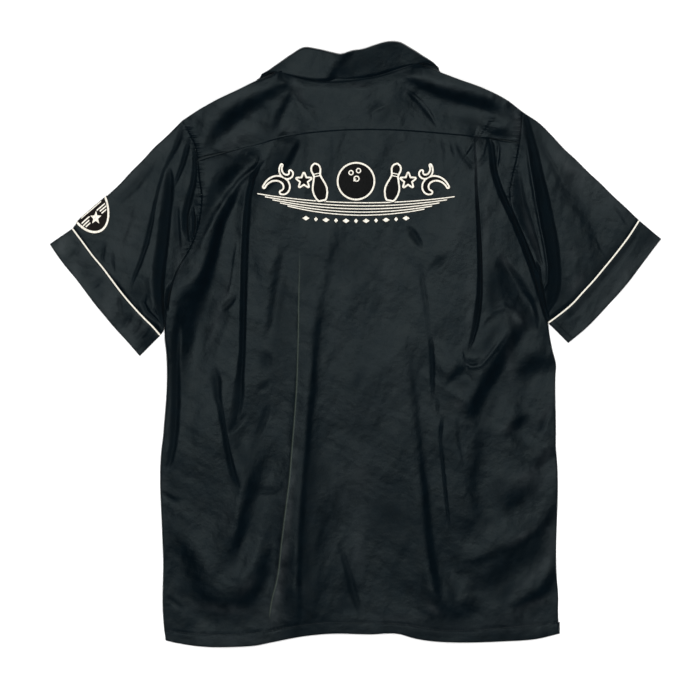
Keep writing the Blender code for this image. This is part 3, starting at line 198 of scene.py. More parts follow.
grooves = [
    [(263, 161, 1.5, 0), (258, 167, 2.2, 2.5), (252, 178, 2.8, 4.5), (248, 195, 3, 5), (246, 215, 3.2, 5.2),
     (244.5, 243, 3.2, 5.5), (243.5, 275, 3.2, 5.5), (243, 300, 3.2, 5.5), (242.5, 330, 3, 5.2),
     (242, 352, 3, 4.5), (240, 376, 4, 3.5), (238.5, 395, 6, 2.8), (236, 412, 6, 2), (233, 428, 5, 0)],
    [(475, 137, .9, 0), (475, 150, 1, .8), (475.5, 166, 1.1, 1), (475.8, 186, 1.3, 2), (477, 206, 1.6, 3.4),
     (478.3, 228, 1.9, 4.6), (479.3, 252, 2.2, 5.2), (479.6, 275, 2.4, 5.4), (479, 296, 2.8, 5.4),
     (477.2, 312, 3.2, 5), (475, 326, 3, 3.8), (471.5, 340, 2.4, 2), (468, 350, 1.6, 0)],
    [(487, 136, 2.5, 0), (490.5, 146, 3.2, 3), (492, 160, 3, 4), (494.5, 176, 3, 4.8), (500, 192, 3, 5.4),
     (507, 207, 3.2, 5.6), (515, 224, 3.2, 5.8), (522.5, 242, 3.4, 5.8), (529.5, 260, 3.6, 5.8),
     (535.5, 276, 4, 5.8), (539.5, 290, 3.8, 5.4), (543, 305, 3, 4.6), (547, 318, 2.5, 3),
     (549, 328, 2, 0)],
    [(522, 112, 2.5, 0), (525, 121, 4, 3), (528, 135, 4.8, 4.4), (532.5, 152, 5.2, 5.2),
     (536.5, 172, 5.6, 5.4), (541, 192, 6.2, 5.6), (545, 212, 6.6, 5.6), (549, 233, 7, 5.6),
     (552, 254, 7.2, 5.6), (553.5, 272, 7.4, 5.4), (553, 288, 7.2, 5), (550, 300, 6, 4), (546, 310, 4, 2.4),
     (543, 318, 3, 0)],
    [(516, 165, 4, 0), (517, 185, 6, 2), (520, 205, 7, 2.8), (527, 225, 6, 3.4), (534, 242, 4, 3),
     (538, 256, 3, 1.5), (542, 268, 2, 0)],
    [(536, 262, 2, 0), (537.5, 270, 3, 3), (538.5, 284, 3, 3), (538, 298, 2, 0)],
    [(499, 254, 4, 0), (502, 266, 8, 3), (507, 280, 13, 4.5), (514, 294, 15, 4.8), (526, 307, 10, 4.4),
     (531, 320, 8, 3), (534, 334, 4, 0)],
    [(429, 333, 1.6, 0), (430.8, 347, 2, 2.2), (431.5, 365, 2.2, 2.6), (431.8, 380, 2, 2.2),
     (432, 396, 1.4, .8), (432.5, 404, 1, 0)],
    [(436, 398, 1.2, 0), (437, 408, 1.4, 1.2), (437.5, 418, 1.2, 0)],
    [(442, 416, 1.4, 0), (440.5, 428, 1.9, 2.2), (439.5, 438, 1.6, 1.2), (440.5, 448, 1.4, 1.2),
     (442, 462, 1.5, 1.6), (443.8, 480, 1.5, 1.7), (445.5, 498, 1.5, 1.7), (447.5, 515, 1.4, 1.3),
     (450, 537, 1, 0)],
    [(405, 90, 2.5, 0), (412, 96, 3.2, 1.6), (421, 104, 3.4, 2.2), (428, 113, 3.4, 2.2),
     (433, 121, 2.6, 1.2), (437, 128, 2, 0)],
    [(407, 226, 3, 0), (412, 235, 5, 2.2), (417, 242, 4.5, 2.2), (422, 249, 2, 0)],
    [(449, 254, 4, 0), (438, 262, 6, 1.8), (428, 270, 4, 0)],
    [(455, 141, 2, 0), (459, 150, 2.6, .8), (464, 159, 3, 1), (472, 167, 3.4, 1.1), (480, 165, 3.4, 1),
     (486, 157, 3.2, 1), (488, 146, 2.6, .6), (488, 139, 2, 0)],
    [(441, 136, 1.2, 0), (443, 150, 1.6, .8), (444, 165, 1.2, 0)],
    [(449, 138, 1.2, 0), (452, 150, 1.6, .9), (455, 160, 1, 0)],
    [(481, 357, 2, 0), (474, 362, 3, 1.6), (467, 361, 3.2, 1.6), (461, 356, 2, 0)],
    [(551, 406, 3, 0), (545, 416, 4, 1.2), (541, 427, 4, 1.4), (538, 436, 3, 0)],
    [(213, 368, 4, 0), (215.5, 382, 6, 2.4), (217, 396, 4, 2.6), (220, 408, 2.4, 2.6),
     (223.5, 425, 2.2, 3.2), (226.5, 443, 2.4, 3.6), (229.5, 460, 3, 3.6), (232.5, 473, 3.6, 3),
     (236, 483, 3.4, 1.4), (240, 490, 3, 0)],
    [(284, 484, 3, 0), (272, 489, 5, 1.3), (260, 490, 5, 1.3), (249, 487, 3, 0)],
    [(247, 412, 4, 0), (240, 419, 5, 1.6), (232, 427, 5, 1.6), (226, 433, 3, 0)],
    [(270, 380, 3, 0), (264, 386, 5, 1.6), (257, 392, 3, 0)],
    [(268, 403, 3, 0), (265, 415, 4, 1.6), (260, 428, 4, 1.6), (255, 440, 3, 0)],
    [(236, 296, 2.5, 0), (230, 301, 4, 2), (224, 307, 4, 2), (219, 310, 2, 0)],
    [(258, 350, 5, 0), (265, 360, 8, 1.8), (267, 374, 6, 0)],
    [(178, 322, 4, 0), (176, 338, 5, 2.6), (175, 360, 5, 3.2), (175, 385, 5, 3.4), (175, 405, 5, 3.4),
     (174, 428, 4.6, 3.2), (172, 448, 4, 2.8), (169.5, 461, 3.4, 2), (166, 470, 2.5, 0)],
    [(182, 501, 2, 0), (175, 499.5, 3, 1.6), (168, 496, 3, 1.5), (162, 492, 2, 0)],
    [(186, 611, 2, 0), (179, 605, 2.6, 1.2), (173, 600, 2.8, 1.2), (166, 596, 2, 0)],
    [(338, 541, 2, 0), (343.5, 558, 3, 1.6), (347.5, 572, 3.6, 2.4), (351, 585, 4, 3), (354, 597, 4, 2.6),
     (358, 608, 3, 1), (361, 616, 2, 0)],
    [(397, 99, 4, 0), (377, 107, 6, 1), (360, 116, 5, 0)],
    [(419, 258, 2.5, 0), (421.5, 280, 3, .9), (425, 305, 3, .9), (428, 328, 2, .4), (429, 338, 2, 0)],
    [(182, 123, 1.6, 0), (179, 137, 3, 2.6), (174.5, 149, 2.4, 2.4), (168.5, 160, 1.4, 1.4),
     (163, 172, 1.1, 1.2), (158.5, 187, 1.2, 1.3), (154.5, 205, 1.5, 1.6), (151, 224, 2.2, 2),
     (146.5, 243, 2.8, 2.2), (140.5, 261, 2.4, 1.8), (134.5, 276, 1.8, 1.3), (130, 290, 1.4, 0)],
    [(169, 168, 3, 0), (169, 182, 5, 3.6), (167.5, 200, 5.4, 4.6), (165, 218, 5.4, 5), (162.5, 240, 6, 5.2),
     (159.5, 262, 6.4, 5.4), (157.5, 282, 6.6, 5.4), (158, 298, 6, 5), (160, 312, 4.6, 4),
     (162.5, 325, 3, 2.2), (162, 334, 2.4, 0)],
    [(189, 138, 2, 0), (186, 152, 2.6, 2.6), (182, 165, 2.6, 2.6), (177.5, 177, 2.2, 2),
     (173, 188, 1.5, 0)],
    [(192, 142, 1.8, 0), (194.5, 155, 2.4, 2.4), (194.5, 170, 2.8, 2.8), (192.5, 185, 3, 3.2),
     (188.5, 200, 3.4, 3.6), (185, 216, 3.8, 4), (185, 230, 3.6, 3.4), (188.5, 243, 2, 0)],
    [(176, 202, 3, 0), (176, 218, 4, 1.2), (177, 234, 4, 1.2), (179, 250, 3, 0)],
    [(192, 206, 1.4, 0), (193.5, 217, 2.2, 2.6), (193.5, 230, 2.2, 2.6), (191, 242, 1.4, 0)],
    [(172, 281, 2, 0), (168, 291, 3, 3.4), (166.5, 302, 2.6, 2.8), (167, 313, 1.8, 0)],
    [(106, 240, 1.8, 0), (103.5, 250, 2, 1.2), (102, 258, 1.8, 1), (104, 266, 1.6, 0)],
    [(112.5, 250, 1.4, 0), (112.5, 262, 1.6, 1.2), (114.5, 274, 1.3, 0)],
    [(146, 294, 2, 0), (143, 303, 3, 1.6), (147, 312, 3, 1.8), (155, 319, 2.4, 1.4), (161, 326, 2, 0)],
    [(156, 303, 2, 0), (154, 311, 2.4, 1.6), (158, 319, 2, 0)],
    [(134, 196, 4, 0), (128, 214, 6, .5), (122, 236, 6, .5), (118, 250, 4, 0)],
    [(157, 150, 5, 0), (147, 166, 7, 1), (135, 184, 7, 1), (123, 196, 6, .6), (114, 206, 4, 0)],
    [(540, 140, 3, 0), (546, 156, 4, .8), (554, 170, 4, .9), (560, 182, 4, .6), (566, 192, 3, 0)],
    [(594, 232, 1.6, 0), (597, 242, 1.8, .4), (602, 252, 1.6, .3), (606, 258, 1.5, 0)],
    [(613, 204, 1.6, 0), (618, 212, 1.8, .6), (624, 221, 1.6, .5), (628, 227, 1.5, 0)],
    [(118, 294, 1.6, 0), (119.5, 304, 2.4, 1.6), (122, 318, 1.8, 0)],
    [(131, 310, 3, 0), (127, 321, 4, 1.3), (121, 331, 3, 0)],
    [(150, 324, 2, 0), (144, 333, 3, 1.4), (135, 341, 3, 0)],
    [(141, 316, 2, 0), (137, 327, 3, 1.2), (129, 337, 2, 0)],
    [(104, 276, 3, 0), (97, 283, 4, .7), (90, 288, 3, 0)],
    [(80, 246, 3, 0), (74, 254, 4, .6), (68, 259, 3, 0)],
    [(638, 230, 4, 0), (629, 243, 6, .9), (616, 260, 6, .9), (602, 278, 6, .9), (588, 295, 6, .8),
     (574, 311, 6, .8), (562, 321, 4, 0)],
]
ridges = [
    [(266, 162, 1.5, 0), (262, 164.5, 2, 1.4), (252, 171, 2.6, 1.7), (239.5, 182, 3, 1.7),
     (228, 197, 3.2, 1.6), (216, 216, 3.4, 1.4), (206, 237, 3.2, .9), (199, 254, 3, 0)],
    [(238, 238, 1.2, 0), (235, 258, 1.2, .8), (232, 282, 1.2, .8), (227, 301, 1.5, 0)],
    [(478, 334, 2.4, 0), (484, 320, 2.8, .9), (493, 311, 3.2, 1.2), (504, 307, 3.4, 1.2),
     (515, 312, 3.2, 1), (522, 322, 2.8, .8), (527, 332, 2, 0)],
    [(461, 348, 1.2, 0), (462.5, 358, 1.3, 1.2), (470, 367, 1.4, 1.4), (480, 366, 1.4, 1.3),
     (488, 357, 1.4, 1.3), (498, 344, 1.5, 1.2), (509, 328, 1.4, 0)],
    [(494, 138, .9, 0), (498.5, 147, 1, 1.2), (498, 158, 1, 1.2), (495.5, 170, 1, .7), (496, 180, 1, 0)],
    [(190.5, 206, .9, 0), (188.8, 218, 1.1, 1.6), (189.2, 232, 1.1, 1.5), (191, 243, .9, 0)],
    [(194, 208, .9, 0), (196.8, 219, 1.1, 1.6), (196.4, 231, 1.1, 1.5), (192.5, 243, .9, 0)],
    [(524, 122, 1.5, 0), (527.5, 145, 2, 1.8), (530.5, 170, 2.2, 2), (534.5, 195, 2.2, 2),
     (539.5, 222, 2, 2), (544.5, 246, 1.8, 1.8), (547.5, 266, 1.8, 1.8), (547, 282, 1.5, 1.4),
     (541, 294, 1.4, .8), (538, 300, 1.2, 0)],
    [(165, 292, 1, 0), (163.8, 300, 1.1, 1), (165.8, 310, 1.1, .9), (169, 318, 1, 0)],
]


# Broad soft slopes, too wide for the height of the shell: they only lean the shading
drapes = [
    [(267, 436, 6, 0), (263, 446, 8, .5), (259.5, 460, 9, 1), (255.5, 478, 10, 1.5), (251, 500, 11, 1.6),
     (245.5, 521, 11, 1.6), (239, 540, 11, 1.4), (231, 556, 9, .9), (224, 566, 6, 0)],
    [(208, 268, 6, 0), (201, 283, 11, 1.2), (190, 300, 17, 1.5), (185, 320, 17, 1.5), (184, 340, 15, 1.4),
     (184, 360, 10, 1.3), (182, 388, 5, 0)],
    [(273, 488, 4, 0), (269, 512, 7, 1.4), (266, 542, 8, 1.5), (261, 572, 11, 1.4), (251, 594, 13, 1.1),
     (233, 607, 15, .85), (213, 604, 15, .85), (201, 590, 12, 1), (193, 569, 12, .9), (187, 549, 11, .9),
     (181, 532, 8, 0)],
    [(548, 530, 5, 0), (538, 543, 9, .5), (524, 555, 13, .8), (508, 566, 14, .9), (495, 576, 12, 1),
     (482, 580, 9, .8), (466, 572, 5, 0)],
    [(554, 354, 8, 0), (546, 360, 11, 1.1), (534, 364, 13, 1.1), (524, 372, 10, .9), (515, 385, 6, 0)],
    [(514, 141, 6, 0), (503, 134, 8, 1.3), (489, 130, 9, 1.5), (477, 124, 7, .9), (466, 126, 5, 0)],
    [(267, 160, 4, 0), (257, 155, 8, 1.3), (245, 157, 10, 1.4), (233, 167, 12, 1.4), (222, 182, 13, 1.3),
     (212, 199, 12, 1.2), (204, 218, 8, 0)],
    [(308, 455, 4, 0), (308, 485, 5, .4), (306, 520, 6, .5), (304, 560, 6, .5), (303, 595, 6, .4),
     (302, 622, 4, 0)],
    [(484, 590, 6, 0), (470, 604, 11, .6), (452, 612, 12, .7), (436, 612, 10, .6), (424, 606, 6, 0)],
    [(470, 398, 8, 0), (472, 425, 11, .3), (472, 460, 12, .35), (474, 490, 12, .5), (480, 512, 11, 1),
     (486, 532, 6, 0)],
    [(534, 478, 5, 0), (525, 487, 8, 1), (514, 498, 10, 1.1), (504, 508, 9, .9), (495, 517, 5, 0)],
    [(338, 450, 20, 0), (336, 500, 30, .2), (336, 550, 34, .26), (336, 600, 34, .26), (336, 630, 20, 0)],
    [(240, 370, 26, 0), (236, 420, 38, .3), (232, 460, 38, .3), (228, 500, 26, 0)],
    [(425, 130, 26, 0), (428, 190, 38, -.2), (432, 260, 40, -.2), (430, 330, 36, -.15), (425, 380, 24, 0)],
    [(436, 530, 5, 0), (439, 560, 7, .7), (443, 585, 8, .9), (447, 604, 6, 0)],
    [(494, 160, 6, 0), (496, 200, 12, -.25), (498, 240, 13, -.28), (496, 275, 8, 0)],
    [(560, 180, 6, 0), (570, 196, 9, .4), (582, 214, 10, .6), (592, 236, 9, .5), (600, 254, 6, 0)],
]


# The nearest place on a line: signed distance to it, and the reach and strength that the line has there
def nearest(x, y, line):
    rows = np.array(line, float)
    away = np.full(x.shape, 1e9)
    sign = np.ones(x.shape)
    reach = np.ones(x.shape)
    strength = np.zeros(x.shape)
    for (ax, ay, aw, ah), (bx, by, bw, bh) in zip(rows, rows[1:]):
        dx, dy = bx - ax, by - ay
        t = np.clip(((x - ax) * dx + (y - ay) * dy) / (dx * dx + dy * dy), 0, 1)
        ex, ey = x - ax - t * dx, y - ay - t * dy
        far = np.hypot(ex, ey)
        closer = far < away
        away = np.where(closer, far, away)
        sign = np.where(closer, np.where(dx * ey - dy * ex >= 0, 1.0, -1.0), sign)
        reach = np.where(closer, aw + (bw - aw) * t, reach)
        strength = np.where(closer, ah + (bh - ah) * t, strength)
    return away * sign, reach, strength


# Distance in mm to a plan line of x, y
def awayFrom(x, y, line):
    return np.abs(nearest(x, y, [(*place, 1, 1) for place in line])[0]) * squareSize


foldShape = {
    "slope": 0.30, "sharp": 1.5, "tail": 3.4,   # a step's slope at strength 1, and how far on it levels out
    "drapeTail": 2.1, "drapeBlur": 24,          # the same for the broad slopes, and rounds of smoothing
    "grooveFall": 0.72, "grooveFull": 0.8076, "grooveLow": 0.45,   # a groove's sides, and where it is lowest
}

foldTables = [
    ("step", 1.0, steps), ("step", 1.2, broadSteps), ("groove", 1.0, grooves), ("ridge", 1.0, ridges),
]


def stepRise(away, reach, strength):
    return foldShape["slope"] * strength * reach * squareSize * np.tanh(foldShape["sharp"] * away / reach)


# Height added by the folds at plan points, and how deep inside a narrow one they are, 0 to 1
def folds(x, y):
    total = np.zeros(x.shape)
    deep = np.zeros(x.shape)
    low = foldShape["grooveLow"]
    for kind, wide, table in foldTables:
        for line in table:
            rows = np.array(line, float)
            margin = rows[:, 2].max() * (9 if kind == "step" else 3.2)
            inside = ((x > rows[:, 0].min() - margin) & (x < rows[:, 0].max() + margin)
                      & (y > rows[:, 1].min() - margin) & (y < rows[:, 1].max() + margin))
            if not inside.any():
                continue
            away, reach, strength = nearest(x[inside], y[inside], line)
            reach = np.where(away < 0, reach * wide, reach)
            if kind == "step":
                shape = stepRise(away, reach, strength) * bell(away, foldShape["tail"] * reach)
            elif kind == "groove":
                across = -away / reach
                fall = np.where(across < low, (across + 1.2) / (1.2 + low), (1.2 - across) / (1.2 - low))
                fall = ease(np.clip(fall, 0, 1) * foldShape["grooveFall"])
                shape = -strength * fall / foldShape["grooveFull"]
                core = np.clip(strength / np.minimum(4.5, 1.4 * reach), 0, 1)
                core = core * np.exp(-((across - 0.15) / 0.85) ** 4)
                deep[inside] = np.maximum(deep[inside], core * np.clip((9.5 - reach) / 2, 0, 1))
            else:
                shape = strength * bell(away, reach)
            total[inside] += shape
    return total, deep


# Soft spots of painted sheen, paler colour standing in for light on the cloth: x, y, reach along and across,
# slant and strength
paintedSheenSpots = [
    (582, 174, 38, 18, .8, .48), (284, 560, 60, 6, 1.7, .2), (126, 232, 32, 13, 1.9, .3),
    (536, 572, 34, 5, -.83, .24), (430, 628, 80, 7, 0, .14), (520, 622, 30, 10, 0, .2),
    (232, 640, 44, 5, 0, .25), (270, 612, 12, 22, 0, .16), (617, 288, 50, 5, 2.28, .45),
    (618, 204, 18, 12, .8, .12), (350, 490, 24, 30, .4, .18), (552, 540, 26, 9, 1.6, .35),
    (540, 480, 18, 12, 2.2, .22), (370, 412, 50, 12, 0, .12), (226, 516, 14, 6, 1.7, .25),
    (246, 586, 12, 5, -.8, .3), (279, 580, 20, 4, 1.7, .25), (515, 318, 12, 8, .6, .4),
    (146, 164, 48, 5, 2.38, .42), (61, 247, 15, 7, 2.38, .65), (388, 270, 42, 10, 1.6, .18),
    (545, 456, 16, 6, 2.2, .35), (400, 375, 14, 22, 0, .15), (518, 122, 13, 4, 1.2, .35),
    (477, 158, 34, 4, 1.6, .42), (338, 330, 30, 10, 1.6, .1), (100, 303, 62, 4, .88, .22),
    (288, 130, 8, 6, 0, .28), (486, 230, 32, 3.5, 1.6, .4), (500, 97, 12, 4, .4, .35),
    (457, 404, 7, 5, 0, .5), (358, 86, 12, 3, 0, .35), (535, 604, 24, 4, -.35, .45),
    (522, 536, 15, 4, -.6, .4), (523, 478, 11, 6, -.8, .4), (222, 608, 26, 5, .1, .35),
    (432, 607, 9, 4, .8, .4), (400, 618, 28, 4, 0, .25), (216, 322, 26, 5, 1.8, .32),
    (228, 293, 13, 4, 1.7, .35), (577, 283, 11, 5, 2.18, .5), (532, 235, 28, 3, 1.25, .35),
    (506, 262, 11, 4, .9, .4), (470, 300, 40, 5, 1.6, .25), (300, 95, 12, 5, 1.2, .35),
    (180, 262, 16, 5, 1.7, .3), (282, 278, 26, 4, 1.7, .1), (361, 474, 8, 14, 0, .28),
    (358, 550, 8, 24, 0, .25), (286, 520, 4, 40, 0, .25), (455, 230, 12, 30, 0, .18),
    (566, 162, 16, 6, .8, .35), (572, 254, 8, 6, 0, .3), (511, 362, 5, 20, 0, .35),
    (546, 412, 12, 4, 2.2, .4), (508, 428, 6, 6, 0, .35), (164, 487, 3, 14, 0, .4),
    (275, 616, 10, 8, 0, .28), (516, 130, 4, 12, 0, .4), (402, 66, 8, 3, -.4, .35),
    (236, 98, 30, 5, -.5, .25), (440, 84, 30, 4, .3, .25), (236, 140, 20, 8, 2.5, .42),
]

# Spots where it lies flat and looks darker, listed in the same way
darker = [
    (322, 472, 17, 12, 1.6, .4), (395, 520, 26, 16, .2, .36), (486, 521, 11, 6, -.5, .4),
    (500, 574, 32, 14, -.55, .34), (240, 452, 26, 6, 1.25, .28), (228, 158, 18, 9, -.9, .3),
    (352, 258, 18, 14, 0, .2), (312, 590, 50, 8, 1.6, .25), (282, 340, 34, 12, 1.8, .22),
    (430, 545, 50, 7, 1.4, .15), (600, 268, 50, 6, 2.28, .5), (650, 240, 10, 8, 0, .35),
    (424, 70, 14, 5, .5, .25), (348, 62, 14, 9, 1, .2), (280, 66, 16, 6, -.6, .22),
    (277, 168, 36, 8, 2.18, .55), (270, 128, 12, 8, 1.9, .3), (455, 627, 24, 7, 0, .5),
    (504, 592, 13, 7, -.6, .42), (554, 555, 4, 18, 0, .6), (366, 63, 24, 8, -.3, .4),
    (208, 208, 24, 5, 1.99, .65), (470, 122, 12, 5, 0, .4), (503, 115, 9, 4, .3, .3),
    (539, 142, 16, 5, 1.2, .3), (560, 295, 13, 5, 2.18, .4), (490, 408, 19, 5, 1.99, .35),
    (463, 384, 8, 5, 0, .35), (255, 443, 20, 5, 1.9, .35), (230, 478, 10, 5, 1, .35),
    (258, 508, 22, 7, 1.9, .22), (490, 338, 16, 5, 2.11, .45), (470, 350, 9, 4, 0, .3),
    (308, 272, 20, 10, 1.6, .15), (388, 112, 14, 5, 2.2, .3), (207, 148, 14, 6, 2.2, .25),
    (185, 372, 6, 22, 0, .25), (452, 590, 6, 14, 0, .3), (300, 500, 5, 60, 0, .15),
    (175, 238, 8, 4, 1.6, .35), (203, 305, 24, 5, 1.85, .5), (311, 480, 6, 36, 0, .5),
    (306, 560, 5, 36, 0, .45), (274, 520, 5, 22, 0, .3), (492, 294, 20, 6, 1.55, .6),
    (505, 283, 14, 9, .8, .4), (539, 284, 4, 10, 0, .5), (357, 382, 6, 12, .5, .3),
    (243, 160, 10, 5, 0, .6), (343, 73, 8, 6, 0, .5), (400, 76, 9, 3, 0, .4), (350, 605, 16, 6, 0, .4),
    (233, 560, 9, 6, 2.2, .4), (238, 482, 6, 8, 0, .4), (500, 484, 9, 9, 0, .35),
    (575, 236, 6, 26, -.3, .15), (390, 440, 40, 16, 0, .12), (452, 440, 8, 30, 0, .15),
    (250, 614, 16, 6, -.5, .35), (425, 572, 9, 4, 1, .35), (464, 505, 7, 5, 0, .4), (526, 448, 8, 4, 0, .4),
    (281, 300, 24, 4, 1.7, .35), (167, 390, 4, 30, 0, .35), (136, 292, 9, 8, 0, .35),
    (390, 510, 16, 12, 0, .2), (306, 510, 5, 50, 0, .2), (400, 400, 14, 8, 0, .15),
    (228, 620, 26, 6, 0, .16), (546, 290, 8, 16, .4, .3), (524, 142, 5, 14, 0, .3),
    (330, 350, 30, 30, 0, .05), (184, 591, 9, 8, 0, .5),
]


# The sum of such spots at plan points
def spots(x, y, table):
    total = np.zeros(x.shape)
    for cx, cy, long, wide, slant, strength in table:
        u = ((x - cx) * math.cos(slant) + (y - cy) * math.sin(slant)) / long
        v = ((y - cy) * math.cos(slant) - (x - cx) * math.sin(slant)) / wide
        total += strength * np.exp(-u * u - v * v)
    return total


def dullAt(x, y):
    return np.clip(spots(x, y, darker), 0, 1)


# Height in mm of the broad slopes, for the shading
def drapery(x, y):
    total = np.zeros(x.shape)
    for line in drapes:
        away, reach, strength = nearest(x, y, line)
        total += stepRise(away, reach, strength) * bell(away, foldShape["drapeTail"] * reach)
    for _ in range(foldShape["drapeBlur"]):
        total[1:-1] = (total[:-2] + 2 * total[1:-1] + total[2:]) / 4
        total[:, 1:-1] = (total[:, :-2] + 2 * total[:, 1:-1] + total[:, 2:]) / 4
    return total


# What the shading needs to know at plan points, apart from their height
def worked(x, y):
    # painted sheen: the paler spots are colour standing in for light on the cloth
    return {"deep": folds(x, y)[1] + dullAt(x, y), "nap": spots(x, y, paintedSheenSpots), "lean": drapery(x, y)}


# Slow unevenness of cloth that has been folded away: sums of slanted waves, mostly running up and down
uneven = {"seed": 11, "octaves": 5, "size": 80.0, "shrink": 1.7, "high": 0.26, "fade": 1.85}
waves = []
chance = np.random.default_rng(uneven["seed"])
for octave in range(uneven["octaves"]):
    for _ in range(6):
        size = uneven["size"] / uneven["shrink"]**octave * chance.uniform(0.8, 1.25)
        lean = chance.normal(0, 0.7)
        waves.append((math.cos(lean) / size, math.sin(lean) / size, chance.uniform(0, 6.28),
                      uneven["high"] / uneven["fade"]**octave))


def unevenness(x, y):
    total = np.zeros(x.shape)
    for across, down, phase, high in waves:
        bend = 9 * np.sin(y / 31 + phase) + 7 * np.sin(x / 27 - phase)
        total += high * np.sin(6.28 * (across * (x + bend) + down * y) + phase)
    return total


body = {
    "rim": (6.0, 4.4), "middle": 8.0,   # height at the armholes, at the sides lower down, and inside, in mm
    "gathers": {"left": 0.72, "right": 0.62},   # height beside the armhole seams
    "gatherPitch": 4.6, "gatherReach": 4.5,
    "buttonPlaces": [190.2, 278.6, 367.1, 455.5, 544.0], "placketLine": 355.5,
}


# Small gathers beside a seam, fading away from it
def gathers(away, along, high):
    pitch = body["gatherPitch"]
    ripple = np.sin(6.28 * along / pitch + 1.7 * np.sin(along / 11.0))
    ripple = ripple + 0.5 * np.sin(6.28 * along / (pitch * 1.7) + 2)
    return high * ripple * bell(away, body["gatherReach"])


def bodyBase(x, y):
    left = sideLeft(np.maximum(y, 121))
    right = sideRight(np.maximum(y, 112))
    inward = np.minimum(ease((x - left + 14) / 70), ease((right - x + 14) / 70))
    rim = mix(*body["rim"], ease((y - 310) / 40))
    outward = np.maximum(ease((left - x - 10) / 80), ease((x - right - 10) / 90))
    return rim + (body["middle"] - rim) * inward - 1.4 * outward


def softFloor(z, low, soft=0.8):
    return low + soft * np.log1p(np.exp(np.clip((z - low) / soft, -30, 30)))


# Height of the upper layer before its edges are turned down; it stays clear of the buttons under it
def upperHeight(x, y):
    z = bodyBase(x, y) + folds(x, y)[0] + unevenness(x, y)
    left = gathers(x - sideLeft(y), y, body["gathers"]["left"])
    right = gathers(sideRight(y) - x, y, body["gathers"]["right"])
    z = z + left * ease((y - 118) / 12) * ease((262 - y) / 20)
    z = z + right * ease((y - 112) / 12) * ease((208 - y) / 14)
    low = 2.1 + 1.5 * sum(1 - ease((np.hypot(x - body["placketLine"], y - place) - 5) / 18)
                          for place in body["buttonPlaces"])
    return softFloor(z, low)


# A quarter-round fall towards an edge, 0 at the edge and 1 beyond its reach
def roundedEdge(away, reach):
    t = np.clip(1 - away / reach, 0, 1)
    return np.sqrt(np.clip(1 - t * t, 0, 1))


# Maths on shader sockets
class Shade:
    def __init__(self, tree, socket):
        self.tree = tree
        self.socket = socket

    def maths(self, operation, *others):
        node = self.tree.nodes.new("ShaderNodeMath")
        node.operation = operation
        for place, value in enumerate((self, *others)):
            if isinstance(value, Shade):
                self.tree.links.new(value.socket, node.inputs[place])
            else:
                node.inputs[place].default_value = value
        return Shade(self.tree, node.outputs[0])

    def __add__(self, other):
        return self.maths("ADD", other)

    def __sub__(self, other):
        return self.maths("SUBTRACT", other)

    def __mul__(self, other):
        return self.maths("MULTIPLY", other)

    def clamp(self, low=0.0, high=1.0):
        return self.maths("MAXIMUM", low).maths("MINIMUM", high)


class Finish:
    def __init__(self, name):
        self.material = bpy.data.materials.new(name)
        self.material.use_nodes = True
        self.tree = self.material.node_tree
        self.principled = self.tree.nodes["Principled BSDF"]

    # Any other node: its settings, and its sockets as values or links
    def node(self, kind, output=0, settings=None, **sockets):
        made = self.tree.nodes.new(kind)
        for key, value in (settings or {}).items():
            setattr(made, key, value)
        for key, value in sockets.items():
            self.put(made.inputs[key.replace("_", " ")], value)
        return Shade(self.tree, made.outputs[output])

    def put(self, socket, value):
        if isinstance(value, Shade):
            self.tree.links.new(value.socket, socket)
        else:
            socket.default_value = value

    # Sockets of the shader itself, by name
    def surface(self, **sockets):
        for key, value in sockets.items():
            self.put(self.principled.inputs[key.replace("_", " ")], value)

    def noise(self, place, scale, detail):
        return self.node("ShaderNodeTexNoise", 0, None, Vector=place, Scale=scale, Detail=detail)

    def colours(self, factor, *stops):
        ramp = self.tree.nodes.new("ShaderNodeValToRGB")
        elements = ramp.color_ramp.elements
        for element, (place, colour) in zip(elements, stops):
            element.position = place
            element.color = (*colour, 1)
        self.put(ramp.inputs[0], factor)
        return Shade(self.tree, ramp.outputs[0])

    def mixing(self, factor, first, second):
        mixed = self.tree.nodes.new("ShaderNodeMix")
        mixed.data_type = "RGBA"
        self.put(mixed.inputs["Factor"], factor)
        ends = [socket for socket in mixed.inputs if socket.type == "RGBA"]
        for socket, value in zip(ends, (first, second)):
            self.put(socket, value if isinstance(value, Shade) else (*value, 1))
        return Shade(self.tree, next(socket for socket in mixed.outputs if socket.type == "RGBA"))

    def attribute(self, name):
        return self.node("ShaderNodeAttribute", "Fac", {"attribute_name": name})

    def bump(self, height, strength, distance, **normal):
        sockets = {"Height": height, "Strength": strength, "Distance": distance, **normal}
        return self.node("ShaderNodeBump", 0, None, **sockets)


def scaled(colour, factor):
    return tuple(c * factor for c in colour)


# The satin's two pale colours are painted light: a highlight along the sharp crease, and patches of sheen.
satinLook = {
    "colour": (0.0007, 0.0022, 0.0036), "paintedHighlightColour": (0.030, 0.038, 0.031),
    "napColour": (0.030, 0.034, 0.036), "roughness": 0.34, "dullRoughness": 0.5,
    "specular": 0.24, "tint": (0.77, 0.94, 0.95), "sheen": 0.02,
    "mottleScale": 70.0, "mottle": 0.24, "crumpleScale": 130.0, "crumple": 0.4,
    "threadScale": (900.0, 2600.0, 900.0), "weave": 0.06,
}


